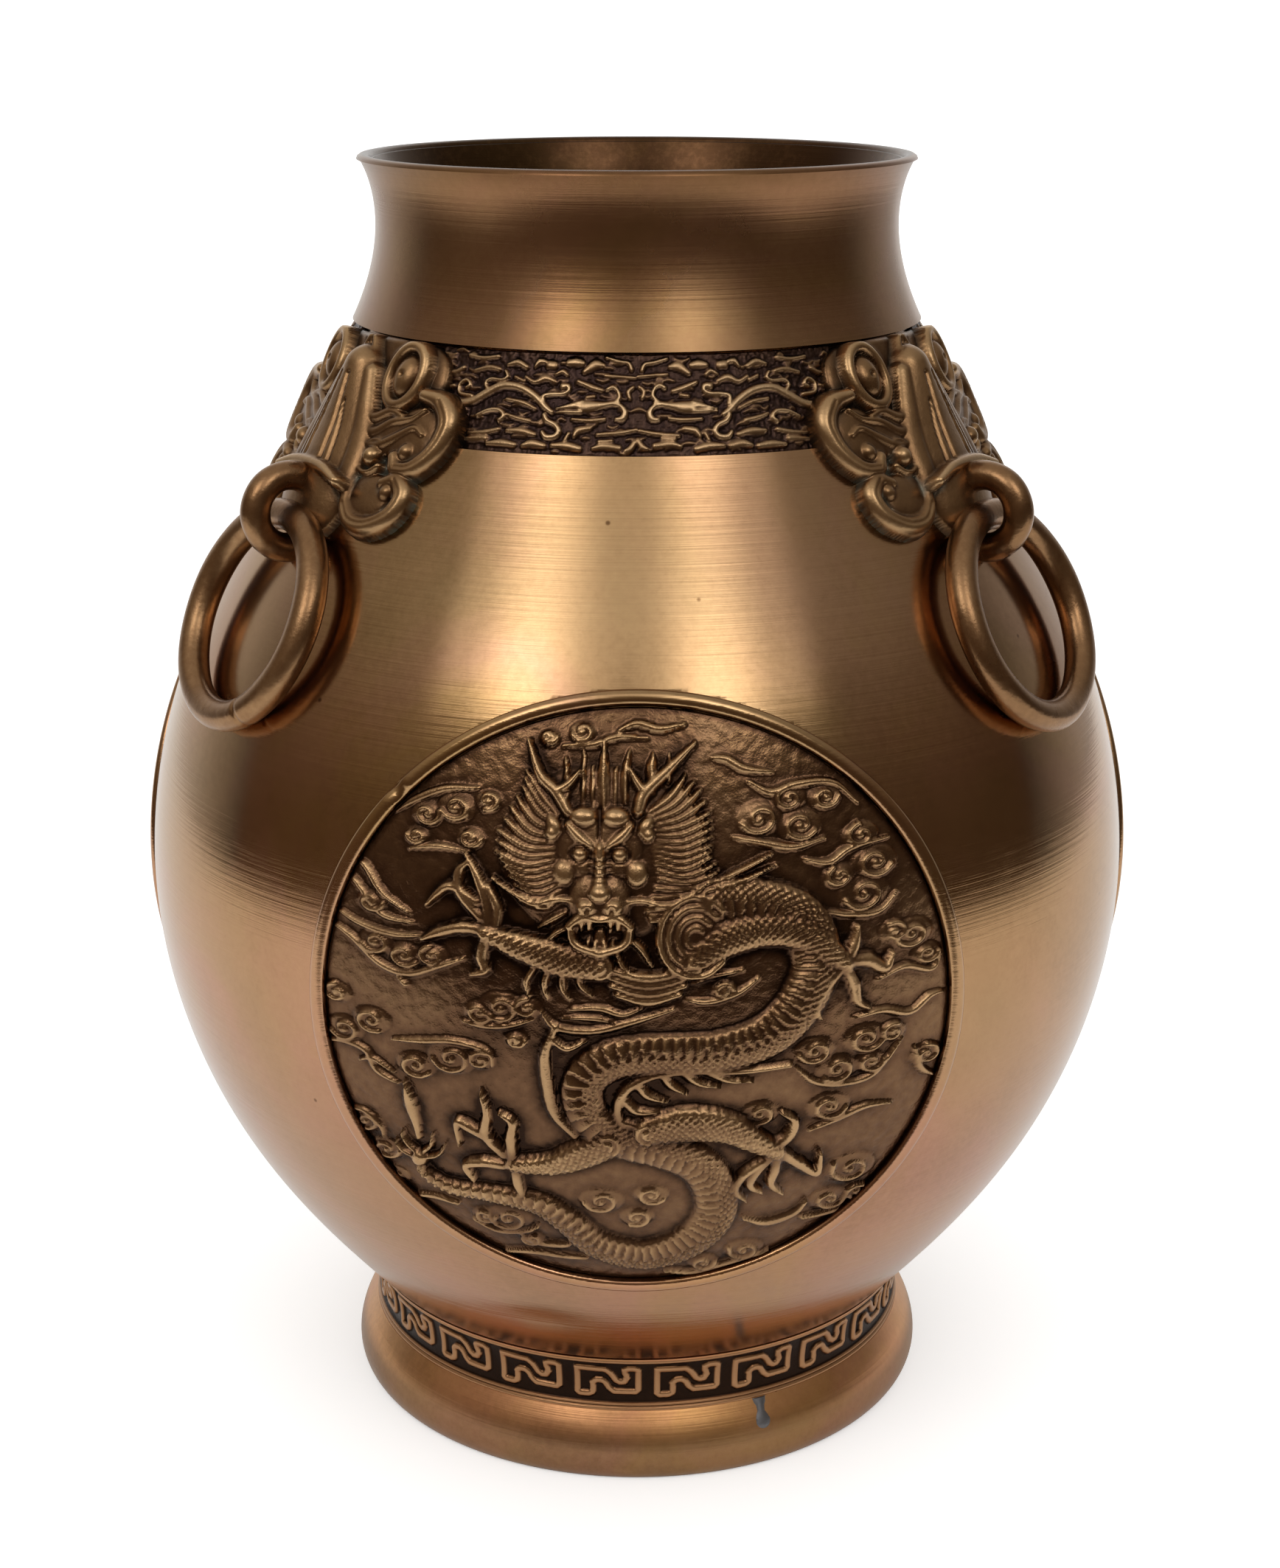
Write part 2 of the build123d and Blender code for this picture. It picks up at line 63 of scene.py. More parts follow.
def curveThrough(points, first, last, spans):
    # Smooth line through points, leaning outwards by the given degrees at its two ends
    p = np.array(points, float)
    step = np.hypot(*np.diff(p, axis=0).T)
    count = len(p)
    left = np.zeros((count, count))
    right = np.zeros((count, 2))
    left[0, 0] = left[-1, -1] = 1
    right[0] = math.sin(math.radians(first)), math.cos(math.radians(first))
    right[-1] = math.sin(math.radians(last)), math.cos(math.radians(last))
    for i in range(1, count - 1):
        before, after = step[i - 1], step[i]
        left[i, i - 1 : i + 2] = after, 2 * (before + after), before
        right[i] = 3 * (after / before * (p[i] - p[i - 1]) + before / after * (p[i + 1] - p[i]))
    slope = np.linalg.solve(left, right)
    t = np.linspace(0, 1, spans, endpoint=False)[:, None]
    runs = []
    for i in range(count - 1):
        runs.append(
            (2 * t**3 - 3 * t**2 + 1) * p[i]
            + (t**3 - 2 * t**2 + t) * step[i] * slope[i]
            + (3 * t**2 - 2 * t**3) * p[i + 1]
            + (t**3 - t**2) * step[i] * slope[i + 1]
        )
    return np.vstack(runs + [p[-1:]])


def walked(line):
    return np.concatenate([[0], np.cumsum(np.hypot(*np.diff(line, axis=0).T))])


def thinned(line, count):
    # A number of evenly spaced points along a line
    run = walked(line)
    stops = np.linspace(0, run[-1], count)
    return np.stack([np.interp(stops, run, line[:, k]) for k in (0, 1)], 1)


def outFrom(line):
    # Directions square to a line, outwards
    along = np.gradient(line, axis=0)
    along /= np.hypot(*along.T)[:, None]
    return np.stack([along[:, 1], -along[:, 0]], 1)


def moved(line, distance):
    return line + distance * outFrom(line)


def radiusAt(line, height):
    return np.interp(height, line[:, 1], line[:, 0])


def between(line, low, high):
    return line[(line[:, 1] >= low) & (line[:, 1] <= high)]


bellyLine = curveThrough(form["belly"], *form["bellyLeans"], 300)
neckLine = curveThrough(form["neck"], *form["neckLeans"], 200)
bodyLine = np.vstack([bellyLine, form["neck"][:1]])
bodyLean = np.arctan2(*np.diff(bodyLine, axis=0).T)
bodyLeanHeight = (bodyLine[1:, 1] + bodyLine[:-1, 1]) / 2


def onBody(across, up, rise, turn):
    # Place on the belly or frieze, seen from the front at a turn round the axis, raised square to the surface
    radius = radiusAt(bodyLine, up)
    lean = np.interp(up, bodyLeanHeight, bodyLean)
    depth = np.sqrt(np.maximum(radius**2 - across**2, 1))
    x = across + rise * across / radius * np.cos(lean)
    y = -depth - rise * depth / radius * np.cos(lean)
    z = up - rise * np.sin(lean)
    a = np.radians(turn)
    return np.stack([x * np.cos(a) - y * np.sin(a), x * np.sin(a) + y * np.cos(a), z], 1)


def linked(name, mesh, sharp):
    piece = bpy.data.objects.new(name, mesh)
    bpy.context.collection.objects.link(piece)
    mesh.shade_smooth()
    mesh.set_sharp_from_angle(angle=math.radians(sharp))
    return piece


def meshFrom(bm, name):
    mesh = bpy.data.meshes.new(name)
    bm.to_mesh(mesh)
    bm.free()
    return mesh


def finished(name, bm, sharp=40):
    bmesh.ops.recalc_face_normals(bm, faces=bm.faces)
    return linked(name, meshFrom(bm, name), sharp)


def vertsOf(geom):
    return [item for item in geom if isinstance(item, bmesh.types.BMVert)]


def corners(mesh):
    co = np.empty(len(mesh.vertices) * 3)
    mesh.vertices.foreach_get("co", co)
    return co.reshape(-1, 3)


def setCorners(mesh, co):
    mesh.vertices.foreach_set("co", np.ascontiguousarray(co, dtype=np.float32).ravel())
    mesh.update()


def values(mesh, name, amount):
    layer = mesh.attributes.get(name) or mesh.attributes.new(name, "FLOAT", "POINT")
    spread = np.broadcast_to(amount, len(mesh.vertices))
    layer.data.foreach_set("value", np.ascontiguousarray(spread, dtype=np.float32))


def taken(mesh, name):
    # Values of an attribute, which is then removed
    amount = np.empty(len(mesh.vertices))
    mesh.attributes[name].data.foreach_get("value", amount)
    mesh.attributes.remove(mesh.attributes[name])
    return amount


def outward(mesh, sealed=False):
    # Turns the faces outwards, and on demand merges doubled corners and fills the open edge
    bm = bmesh.new()
    bm.from_mesh(mesh)
    if sealed:
        bmesh.ops.remove_doubles(bm, verts=bm.verts, dist=1e-6)
        loose = [e for e in bm.edges if e.is_boundary]
        if loose:
            bmesh.ops.contextual_create(bm, geom=loose)
    bmesh.ops.recalc_face_normals(bm, faces=bm.faces)
    bm.to_mesh(mesh)
    bm.free()


def rounded(bm, edges, offset, segments):
    bmesh.ops.bevel(bm, geom=edges, offset=offset, offset_type="OFFSET", affect="EDGES", segments=segments,
                    profile=0.5, material=-1)


def turned(name, section, steps, sharp=40, sectors=12):
    # A closed section of radius and height, spun round the axis one sector at a time
    bm = bmesh.new()
    verts = [bm.verts.new((r * mm, 0, z * mm)) for r, z in section]
    edges = [bm.edges.new(pair) for pair in zip(verts, verts[1:] + verts[:1])]
    bmesh.ops.spin(bm, geom=verts + edges, axis=(0, 0, 1), cent=(0, 0, 0), steps=steps // sectors,
                   angle=2 * math.pi / sectors)
    sector = bpy.data.meshes.new("sector")
    bm.to_mesh(sector)
    count = len(bm.verts)
    for k in range(1, sectors):
        bm.from_mesh(sector)
        turn = Matrix.Rotation(2 * math.pi * k / sectors, 3, "Z")
        bmesh.ops.rotate(bm, verts=bm.verts[-count:], cent=(0, 0, 0), matrix=turn)
    bpy.data.meshes.remove(sector)
    bmesh.ops.remove_doubles(bm, verts=bm.verts[:], dist=1e-6)
    return finished(name, bm, sharp)


def dress(piece, body, slot, finish, *nodes):
    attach(piece, body)
    if nodes:
        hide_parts(*nodes)
    piece.data.materials.clear()
    piece.data.materials.append(finish)


# Relief drawn by strokes on a sheet, heights in millimetres
def routed(points, step=0.8):
    # Smooth route through points of across, up and half width
    p = np.array(points, float)
    p = np.vstack([2 * p[0] - p[1], p, 2 * p[-1] - p[-2]])
    runs = []
    for a, b, c, d in zip(p, p[1:], p[2:], p[3:]):
        t = np.linspace(0, 1, max(2, int(math.hypot(*(c - b)[:2]) / step)), endpoint=False)[:, None]
        bend = (2 * a - 5 * b + 4 * c - d) * t**2 + (3 * b - a - 3 * c + d) * t**3
        runs.append(b + 0.5 * ((c - a) * t + bend))
    line = np.vstack(runs + [p[-2:-1]])
    line[:, 2] = np.maximum(line[:, 2], 0.15)
    return line


def spiral(x, y, radius, hand, start, width, turns=1.35, count=14):
    points = []
    for k in range(count + 1):
        share = k / count
        angle = math.radians(start) + hand * share * turns * 2 * math.pi
        reach = radius * (1 - 0.86 * share)
        across, up = reach * math.cos(angle), 0.8 * reach * math.sin(angle)
        points.append((x + across, y + up, width * (1 - 0.3 * share)))
    return points


def arc(x, y, wide, tall, line, degrees):
    return [(x + wide * math.cos(t), y + tall * math.sin(t), line) for t in np.radians(degrees)]


def flipped(points, side, middle=0.0):
    return [(middle + side * a, b, w) for a, b, w in points]


def widened(points, factor):
    return [(a, b, w * factor) for a, b, w in points]


def spanned(share, low, high):
    # From low to high as a share runs from -1 to 1
    return low + (share + 1) / 2 * (high - low)


def scales(pitch, size):
    def rise(run, side, width):
        a, b = run / pitch, side * width / pitch
        return size * (np.abs(np.sin(math.pi * (a + b))) * np.abs(np.sin(math.pi * (a - b))) - 0.3)
    return rise


def plates(pitch, size):
    def rise(run, side, width):
        share = run / pitch - 0.25 * side**2
        return size * (share - np.floor(share) - 0.5)
    return rise


class Relief:
    def __init__(self, across, up, ground):
        self.x, self.y, self.h = across, up, np.full(len(across), float(ground))

    def near(self, line):
        # Places under a stroke: their share of its half width, run along it, side, and half width there
        reach = line[:, 2].max()
        low, high = line[:, :2].min(0) - reach, line[:, :2].max(0) + reach
        inside = (self.x > low[0]) & (self.x < high[0]) & (self.y > low[1]) & (self.y < high[1])
        spot = np.flatnonzero(inside)
        x, y = self.x[spot], self.y[spot]
        share, run = np.full(len(spot), 9.0), np.zeros(len(spot))
        side, width = np.zeros(len(spot)), np.ones(len(spot))
        gone = 0.0
        for a, b in zip(line, line[1:]):
            d = b[:2] - a[:2]
            length = math.hypot(*d)
            if length < 1e-6:
                continue
            px, py = x - a[0], y - a[1]
            t = np.clip((px * d[0] + py * d[1]) / length**2, 0, 1)
            w = a[2] + (b[2] - a[2]) * t
            q = np.hypot(px - t * d[0], py - t * d[1]) / w
            closer = q < share
            share[closer], run[closer], width[closer] = q[closer], gone + t[closer] * length, w[closer]
            side[closer] = (q * np.sign(d[0] * py - d[1] * px))[closer]
            gone += length
        on = share < 1
        return spot[on], share[on], run[on], side[on], width[on]

    def ridge(self, points, height, lift=0.0, fullness=0.5, pattern=None):
        spot, share, run, side, width = self.near(routed(points))
        rise = lift + height * (1 - share**2) ** fullness
        if pattern:
            rise += pattern(run, side, width) * np.minimum(1, 3 * (1 - share))
        self.h[spot] = np.maximum(self.h[spot], rise)

    def groove(self, points, depth):
        spot, share, *_ = self.near(routed(points))
        self.h[spot] -= depth * (1 - share**2)

    def mound(self, x, y, wide, tall, height, lift=0.0, fullness=0.5, lean=0.0):
        a = math.radians(lean)
        u = ((self.x - x) * math.cos(a) + (self.y - y) * math.sin(a)) / wide
        v = ((self.y - y) * math.cos(a) - (self.x - x) * math.sin(a)) / tall
        q = u**2 + v**2
        on = q < 1
        self.h[on] = np.maximum(self.h[on], lift + height * (1 - q[on]) ** fullness)

    def pit(self, x, y, wide, tall, depth):
        q = ((self.x - x) / wide) ** 2 + ((self.y - y) / tall) ** 2
        on = q < 1
        self.h[on] -= depth * (1 - q[on]) ** 0.5


def softened(h, reach):
    kernel = np.ones(2 * reach + 1) / (2 * reach + 1)
    for axis in (0, 1, 0, 1):
        pad = [(reach, reach) if k == axis else (0, 0) for k in (0, 1)]
        wider = np.pad(h, pad, mode="edge")
        h = np.apply_along_axis(lambda row: np.convolve(row, kernel, "valid"), axis, wider)
    return h


def gridSheet(columns, rows, backs):
    # A square sheet from -1 to 1, with its edge drawn on in further rounds for the sides and back
    bm = bmesh.new()
    bmesh.ops.create_grid(bm, x_segments=columns, y_segments=rows, size=1.0)
    layer = bm.verts.layers.float.new("back")
    edges = [e for e in bm.edges if e.is_boundary]
    for step in range(backs):
        grown = bmesh.ops.extrude_edge_only(bm, edges=edges)["geom"]
        for vert in vertsOf(grown):
            vert[layer] = step + 1
        edges = [item for item in grown if isinstance(item, bmesh.types.BMEdge) and item.is_boundary]
    mesh = meshFrom(bm, "sheet")
    co = corners(mesh)
    return mesh, co[:, 0].copy(), co[:, 1].copy(), np.rint(taken(mesh, "back"))


def sharpness(x, y, h, columns, rows, reach):
    # How far each place stands above its surroundings
    ix = np.rint((x + 1) / 2 * columns).astype(int)
    iy = np.rint((y + 1) / 2 * rows).astype(int)
    table = np.zeros((rows + 1, columns + 1))
    table[iy, ix] = h
    return (table - softened(table, reach))[iy, ix]


print("stage: tools ready")


# Finishes
def plug(tree, node, *pairs):
    # Fills sockets with values, or links them to other sockets
    for socket, value in pairs:
        if isinstance(value, bpy.types.NodeSocket):
            tree.links.new(value, node.inputs[socket])
        else:
            node.inputs[socket].default_value = value


def nodeAdder(tree):
    def add(kind, *pairs, **options):
        node = tree.nodes.new("ShaderNode" + kind)
        for name, value in options.items():
            setattr(node, name, value)
        plug(tree, node, *pairs)
        return node
    return add


def ramp(add, stops, share, blend="LINEAR"):
    node = add("ValToRGB", ("Fac", share))
    while len(node.color_ramp.elements) < len(stops):
        node.color_ramp.elements.new(0.5)
    for element, (place, colour) in zip(node.color_ramp.elements, stops):
        element.position = place
        element.color = (*np.full(3, colour, float), 1)  # one number is a grey
    node.color_ramp.interpolation = blend
    return node.outputs["Color"]


def mixed(add, first, second, share=1.0, blend="MIX"):
    return add("Mix", (0, share), (6, first), (7, second), data_type="RGBA", blend_type=blend).outputs[2]


def bronze(name, stops, roughness, spread, grain, streak=False, patch=None, tints=None, brushed=0.0):
    # Stops run along the tone attribute from dark hollows to bright edges, swayed by a patina noise. The tone
    # holds rubbed wear and patina, and also painted shade in hollows and insides and painted highlight on
    # crests
    material = bpy.data.materials.new(name)
    material.use_nodes = True
    tree = material.node_tree
    add = nodeAdder(tree)
    shader = tree.nodes["Principled BSDF"]
    metal = 1.0
    place = add("TexCoord").outputs["Object"]

    def noise(vector, scale, detail, rough, bend=0.0):
        node = add("TexNoise", ("Vector", vector), ("Scale", scale), ("Detail", detail), ("Roughness", rough))
        plug(tree, node, ("Distortion", bend))
        return node.outputs["Fac"]

    cloud, fine = noise(place, 14.0, 6.0, 0.6), noise(place, 420.0, 3.0, 0.7)
    tone = add("Attribute", attribute_name="polishAndShade").outputs["Fac"]
    for source, share in ((cloud, spread), (fine, spread * 0.5)):
        tone = add("Math", (0, source), (1, share), (2, tone), operation="MULTIPLY_ADD").outputs["Value"]
    level = add("Math", (0, tone), (1, spread * 0.75), operation="SUBTRACT").outputs["Value"]
    base = ramp(add, stops, level)
    if tints:
        up = add("SeparateXYZ", ("Vector", place)).outputs["Z"]
        height = add("MapRange", ("From Max", lipHeight * mm), ("Value", up)).outputs["Result"]
        bloom = noise(place, tints["bloomScale"], 5.0, 0.55, 0.6)
        pits = add("TexVoronoi", ("Vector", place), ("Scale", tints["pitScale"])).outputs["Distance"]
        for layer, share in (("height", height), ("bloom", bloom), ("pits", pits)):
            base = mixed(add, base, ramp(add, tints[layer], share), blend="MULTIPLY")
    if patch:
        stain = add("Attribute", attribute_name="stain").outputs["Fac"]
        base = mixed(add, base, (*patch, 1), stain)
        metal = add("MapRange", ("To Min", 1.0), ("To Max", 0.1), ("Value", stain)).outputs["Result"]
    if brushed:
        grainWay = add("Tangent", direction_type="RADIAL", axis="Z").outputs["Tangent"]
        plug(tree, shader, ("Tangent", grainWay), ("Anisotropic", brushed), ("Anisotropic Rotation", 0.25))
    rough = add("MapRange", ("From Min", 0.3), ("From Max", 0.7), ("To Min", roughness[0]),
                ("To Max", roughness[1]), ("Value", cloud))
    if streak:
        stretch = add("Mapping", ("Scale", (6.0, 6.0, 900.0)), ("Vector", place))
        fine = noise(stretch.outputs["Vector"], 1.0, 4.0, 0.7)
    bump = add("Bump", ("Strength", grain), ("Distance", 0.0002), ("Height", fine))
    plug(tree, shader, ("Base Color", base), ("Metallic", metal), ("Roughness", rough.outputs["Result"]),
         ("Normal", bump.outputs["Normal"]))
    return material


patina = {
    "height": [(0.12, (1.16, 1.07, 1.0)), (0.3, (1.0, 0.95, 1.06)), (0.5, (1.0, 0.99, 0.96)),
               (0.72, (1.0, 1.07, 1.06)), (0.9, (1.0, 1.0, 0.92)), (1.0, (0.9, 0.84, 0.76))],
    "bloomScale": 9.0,
    "bloom": [(0.3, (0.9, 0.92, 0.86)), (0.45, (1.0, 0.98, 0.94)), (0.55, (1.05, 0.96, 1.04)),
              (0.64, (1.02, 1.0, 0.86)), (0.75, (0.92, 0.9, 0.96))],
    "pitScale": 46.0,
    "pits": [(0.0, (0.3, 0.26, 0.24)), (0.022, (0.45, 0.4, 0.36)), (0.04, (1.0, 1.0, 1.0))],
}
# On the foot the tint by height is painted light: from the upper tier up it is brightened as a painted
# highlight, and the lower roll is darkened as painted shade
footPatinaAndPaintedLight = dict(patina, height=[(0.0, (0.85, 0.86, 0.84)), (0.028, (0.88, 0.89, 0.86)),
                                  (0.04, (1.6, 1.5, 1.3)), (0.055, (1.5, 1.4, 1.2))])
bodyFinish = bronze(
    "polishedBronze", [(0.0, (0.13, 0.07, 0.032)), (0.25, (0.29, 0.165, 0.08)), (0.5, (0.41, 0.245, 0.128)),
                       (1.0, (0.53, 0.34, 0.18))], (0.12, 0.18), 0.6, 0.3, True, tints=patina)
neckFinish = bronze(
    "neckBronze", [(0.0, (0.075, 0.042, 0.02)), (0.25, (0.2, 0.114, 0.055)), (0.5, (0.275, 0.16, 0.082)),
                   (1.0, (0.42, 0.265, 0.137))], (0.24, 0.31), 0.5, 0.35, True, tints=patina, brushed=0.5)
footFinish = bronze(
    "footBronze", [(0.0, (0.13, 0.065, 0.032)), (0.5, (0.37, 0.21, 0.11)), (1.0, (0.50, 0.31, 0.165))],
    (0.26, 0.38), 0.7, 0.35, True, tints=footPatinaAndPaintedLight)
reliefFinish = bronze(
    "reliefBronze", [(0.0, (0.025, 0.013, 0.008)), (0.35, (0.135, 0.07, 0.037)), (0.62, (0.23, 0.13, 0.065)),
                     (1.0, (0.45, 0.28, 0.14))], (0.2, 0.34), 0.55, 1.0)
friezeFinish = bronze(
    "friezeBronze", [(0.0, (0.025, 0.014, 0.012)), (0.4, (0.10, 0.055, 0.036)), (0.65, (0.27, 0.16, 0.08)),
                     (1.0, (0.56, 0.38, 0.21))], (0.26, 0.4), 0.25, 0.6)
fretFinish = bronze(
    "fretBronze", [(0.0, (0.012, 0.007, 0.005)), (0.4, (0.05, 0.025, 0.014)), (0.62, (0.27, 0.135, 0.062)),
                   (1.0, (0.50, 0.28, 0.14))], (0.25, 0.4), 0.2, 0.5)
maskFinish = bronze(
    "maskBronze", [(0.0, (0.03, 0.017, 0.01)), (0.35, (0.14, 0.075, 0.036)), (0.6, (0.27, 0.155, 0.073)),
                   (1.0, (0.52, 0.335, 0.17))], (0.24, 0.4), 0.3, 0.5, patch=(0.09, 0.105, 0.08))
ringFinish = bronze(
    "ringBronze", [(0.0, (0.13, 0.066, 0.032)), (0.5, (0.28, 0.155, 0.074)), (1.0, (0.48, 0.30, 0.15))],
    (0.22, 0.36), 0.9, 0.5)
solderFinish = bronze(
    "solderGrey", [(0.0, (0.10, 0.10, 0.105)), (1.0, (0.24, 0.24, 0.25))], (0.4, 0.55), 0.8, 0.6)
print("stage: finishes ready")

# Belly shell with its rebate and three round seats
belly = {"steps": 480, "rows": 150, "innerRows": 36, "seatDepth": 1.9, "seatReach": 88.8,
         "dent": (-29.0, 63.0, 13.0, 0.7), "polishAndShade": (0.5, 0.1)}
rebate = form["friezeThickness"] / math.cos(bodyLean[-1])
backing = rebate + form["friezeBacking"] / math.cos(bodyLean[-1])
inner = thinned(moved(bellyLine, -form["bellyWall"]), belly["innerRows"])
top = [
    (shoulderRadius - rebate, shoulderHeight),
    (neckRadius - rebate, neckHeight),
    (neckRadius - backing, neckHeight),
]
section = np.vstack([thinned(bellyLine, belly["rows"]), top, inner[::-1], [(inner[0, 0], footHeight)]])
bellyShell = turned("bellyShell", section, belly["steps"])
co = corners(bellyShell.data) / mm
flat = np.hypot(co[:, 0], co[:, 1])
outside = flat > radiusAt(bellyLine, co[:, 2]) - 1.0
aim = np.concatenate([co[:, :2] / flat[:, None], np.zeros((len(co), 1))], 1)
for turn in form["roundelTurns"].values():
    a = math.radians(turn)
    across = co[:, 0] * math.cos(a) + co[:, 1] * math.sin(a)
    ahead = co[:, 0] * math.sin(a) - co[:, 1] * math.cos(a)
    reach = np.hypot(across, co[:, 2] - form["roundelHeight"])
    seat = outside & (ahead > 0) & (reach < belly["seatReach"])
    co[seat] -= aim[seat] * belly["seatDepth"]
x, z, wide, deep = belly["dent"]
off = ((co[:, 0] - x) / wide) ** 2 + ((co[:, 2] - z) / (0.5 * wide)) ** 2
hollow = np.exp(-off) * (co[:, 1] < 0) * deep
co -= aim * hollow[:, None] * outside[:, None]
setCorners(bellyShell.data, co * mm)
# The outside keeps a middling tone; the inside is painted dark as shade
values(bellyShell.data, "polishAndShade", np.where(outside, *belly["polishAndShade"]))
dress(bellyShell, "vessel", "polished_bronze", bodyFinish, "belly_shell")

# Neck collar, its tone set along its height and darker towards the lip, with its inside painted dark as shade
neck = {"steps": 264, "rows": 40, "throatRows": 30, "throatLeans": (-8, 22), "wall": 4.0, "lipThickness": 4.2,
        "lipRound": 1.4, "polishAndShade": ([350, 372, 393, 397.5, 400], [0.5, 0.55, 0.5, 0.3, 0.25])}
throat = curveThrough([(neckRadius - backing, neckHeight), (waistRadius - neck["wall"], waistHeight),
                       (lipRadius - neck["lipThickness"], lipHeight)], *neck["throatLeans"], 60)
inner = thinned(throat, neck["throatRows"])
half = neck["lipThickness"] / 2
lip = arc(lipRadius - half, lipHeight - neck["lipRound"], half, neck["lipRound"], 0, np.arange(0, 181, 30))
section = np.vstack([thinned(neckLine, neck["rows"])[:-1], np.array(lip)[:, :2], inner[::-1][1:]])
neckCollar = turned("neckCollar", section, neck["steps"], 50)
co = corners(neckCollar.data) / mm
within = np.hypot(co[:, 0], co[:, 1]) < radiusAt(neckLine, co[:, 2]) - 1.5
values(neckCollar.data, "polishAndShade", np.where(within, 0.0, np.interp(co[:, 2], *neck["polishAndShade"])))
dress(neckCollar, "vessel", "polished_bronze", neckFinish, "neck_collar")

# Foot ring with its rebate, and the base plate inside it
foot = {"steps": 264, "waist": [(89.4, 21.4), (88.7, 30), (91.2, 40.4)], "waistLeans": (-12, 24),
        "roll": [(93.2, 0), (95.3, 3.6), (95.2, 10), (93.7, 14.4), (89.4, 21.4)], "rollLeans": (50, -35),
        "hollow": [(79.3, 28.6), (86.8, 0.0)], "flangeRadius": 74.0, "flangeThickness": 4.0,
        "fretDepth": 1.9, "fretLow": 21.4, "fretHigh": 39.6, "rollRows": 44, "seatRows": 24, "polishAndShade": 0.5}
waist = curveThrough(foot["waist"], *foot["waistLeans"], 40)
roll = curveThrough(foot["roll"], *foot["rollLeans"], 24)
waistBack = moved(waist, -foot["fretDepth"])
low, high = foot["fretLow"], foot["fretHigh"]
flangeLow = footHeight - foot["flangeThickness"]
section = np.vstack([
    thinned(roll, foot["rollRows"]),
    [(radiusAt(waistBack, low), low)],
    thinned(between(waistBack, low, high), foot["seatRows"]),
    [(radiusAt(waistBack, high), high), (radiusAt(waist, high), high), waist[-1], bellyLine[0]],
    [(foot["flangeRadius"], footHeight), (foot["flangeRadius"], flangeLow)],
    [(foot["hollow"][0][0], flangeLow), *foot["hollow"]],
])
footRing = turned("footRing", section, foot["steps"], 50)
values(footRing.data, "polishAndShade", foot["polishAndShade"])
dress(footRing, "vessel", "foot_bronze", footFinish, "foot_ring")

plate = {"radius": 87.42, "thickness": 3.2, "edge": 0.5, "segments": 128, "polishAndShade": 0.2}
bm = bmesh.new()
bmesh.ops.create_circle(bm, cap_ends=True, radius=plate["radius"] * mm, segments=plate["segments"])
grown = bmesh.ops.extrude_face_region(bm, geom=bm.faces[:])["geom"]
bmesh.ops.translate(bm, verts=vertsOf(grown), vec=(0, 0, plate["thickness"] * mm))
bmesh.ops.translate(bm, verts=bm.verts[:], vec=(0, 0, footHeight * mm))
rounded(bm, [e for e in bm.edges if abs(e.verts[0].co.z - e.verts[1].co.z) < 1e-7], plate["edge"] * mm, 2)
basePlate = finished("basePlate", bm)
values(basePlate.data, "polishAndShade", plate["polishAndShade"])
dress(basePlate, "vessel", "foot_bronze", footFinish, "base_plate")
print("stage: body ready")

# Fret band: key frets between border lines, drawn once and repeated round the waist
fret = {
    "count": 22, "columns": 60, "rows": 56, "backRows": 6, "relief": 1.0, "fullness": 0.3, "sleeve": 0.9,
    "turn": -6.0, "paceRadius": 89.6, "width": 19.5, "height": 9.3, "middle": 0.5, "line": 2.3,
    "fit": 0.02, "endGap": 0.05, "polishAndShade": (0.08, 0.95, 0.82),
    "borders": [(0.45, 0.75), (1.95, 0.62), (-0.7, 0.75)],
    "corners": [
        (0, 1), (0.46, 0.98), (0.55, 0.82), (0.63, 0.57), (0.7, 0.48), (0.78, 0.5), (0.82, 0.64),
        (0.79, 0.82), (0.78, 0.96), (0.84, 1.04), (0.95, 1.04), (1, 0.96), (1, 0.2), (0.96, 0.12),
        (0.6, 0.13), (0.52, 0.26), (0.46, 0.45), (0.4, 0.54), (0.31, 0.53), (0.25, 0.41), (0.26, 0.22),
        (0.25, 0.06), (0.19, 0), (0.04, 0), (0, 0.06), (0, 1),
    ],
}
face = thinned(between(waist, low, high), fret["rows"])
out = outFrom(face)
run = walked(face)
steps = fret["count"] * fret["columns"]
pace = 2 * math.pi * fret["paceRadius"] / fret["count"]
u, v = np.meshgrid(np.arange(fret["columns"]) / fret["columns"] * pace - pace / 2, run - run[-1] / 2)
drawing = Relief(u.ravel(), v.ravel(), 0.0)
key = [((a - 0.5) * fret["width"], (b - 0.5) * fret["height"] + fret["middle"], fret["line"] / 2)
       for a, b in fret["corners"]]
lines = list(zip(key, key[1:]))
for edge, wide in fret["borders"]:
    edge -= math.copysign(run[-1] / 2, edge)
    lines.append([(-pace, edge, wide), (pace, edge, wide)])
for line in lines:
    drawing.ridge(line, fret["relief"], 0, fret["fullness"])
unit = drawing.h.reshape(u.shape)
dark, gain, bright = fret["polishAndShade"]
tone = np.clip(dark + gain * unit, 0, bright)
backEdge = moved(waist, fret["fit"] - foot["fretDepth"])
heights = np.linspace(high - fret["endGap"], low + fret["endGap"], fret["backRows"])
front = face + out * (fret["sleeve"] - foot["fretDepth"])
section = np.vstack([front, np.stack([radiusAt(backEdge, heights), heights], 1)])
fretBand = turned("fretBand", section, steps, 60)
co = corners(fretBand.data) / mm
flat = np.hypot(co[:, 0], co[:, 1])
degrees = np.degrees(np.arctan2(co[:, 1], co[:, 0])) + 90 - fret["turn"]
column = np.rint(degrees / 360 * steps + fret["columns"] / 2).astype(int) % fret["columns"]
gap = (flat[:, None] - front[None, :, 0]) ** 2 + (co[:, 2:3] - front[None, :, 1]) ** 2
row = gap.argmin(1)
onFace = gap.min(1) < 1e-4
rise = np.where(onFace, unit[row, column], 0)
reach = 1 + rise * out[row, 0] / flat
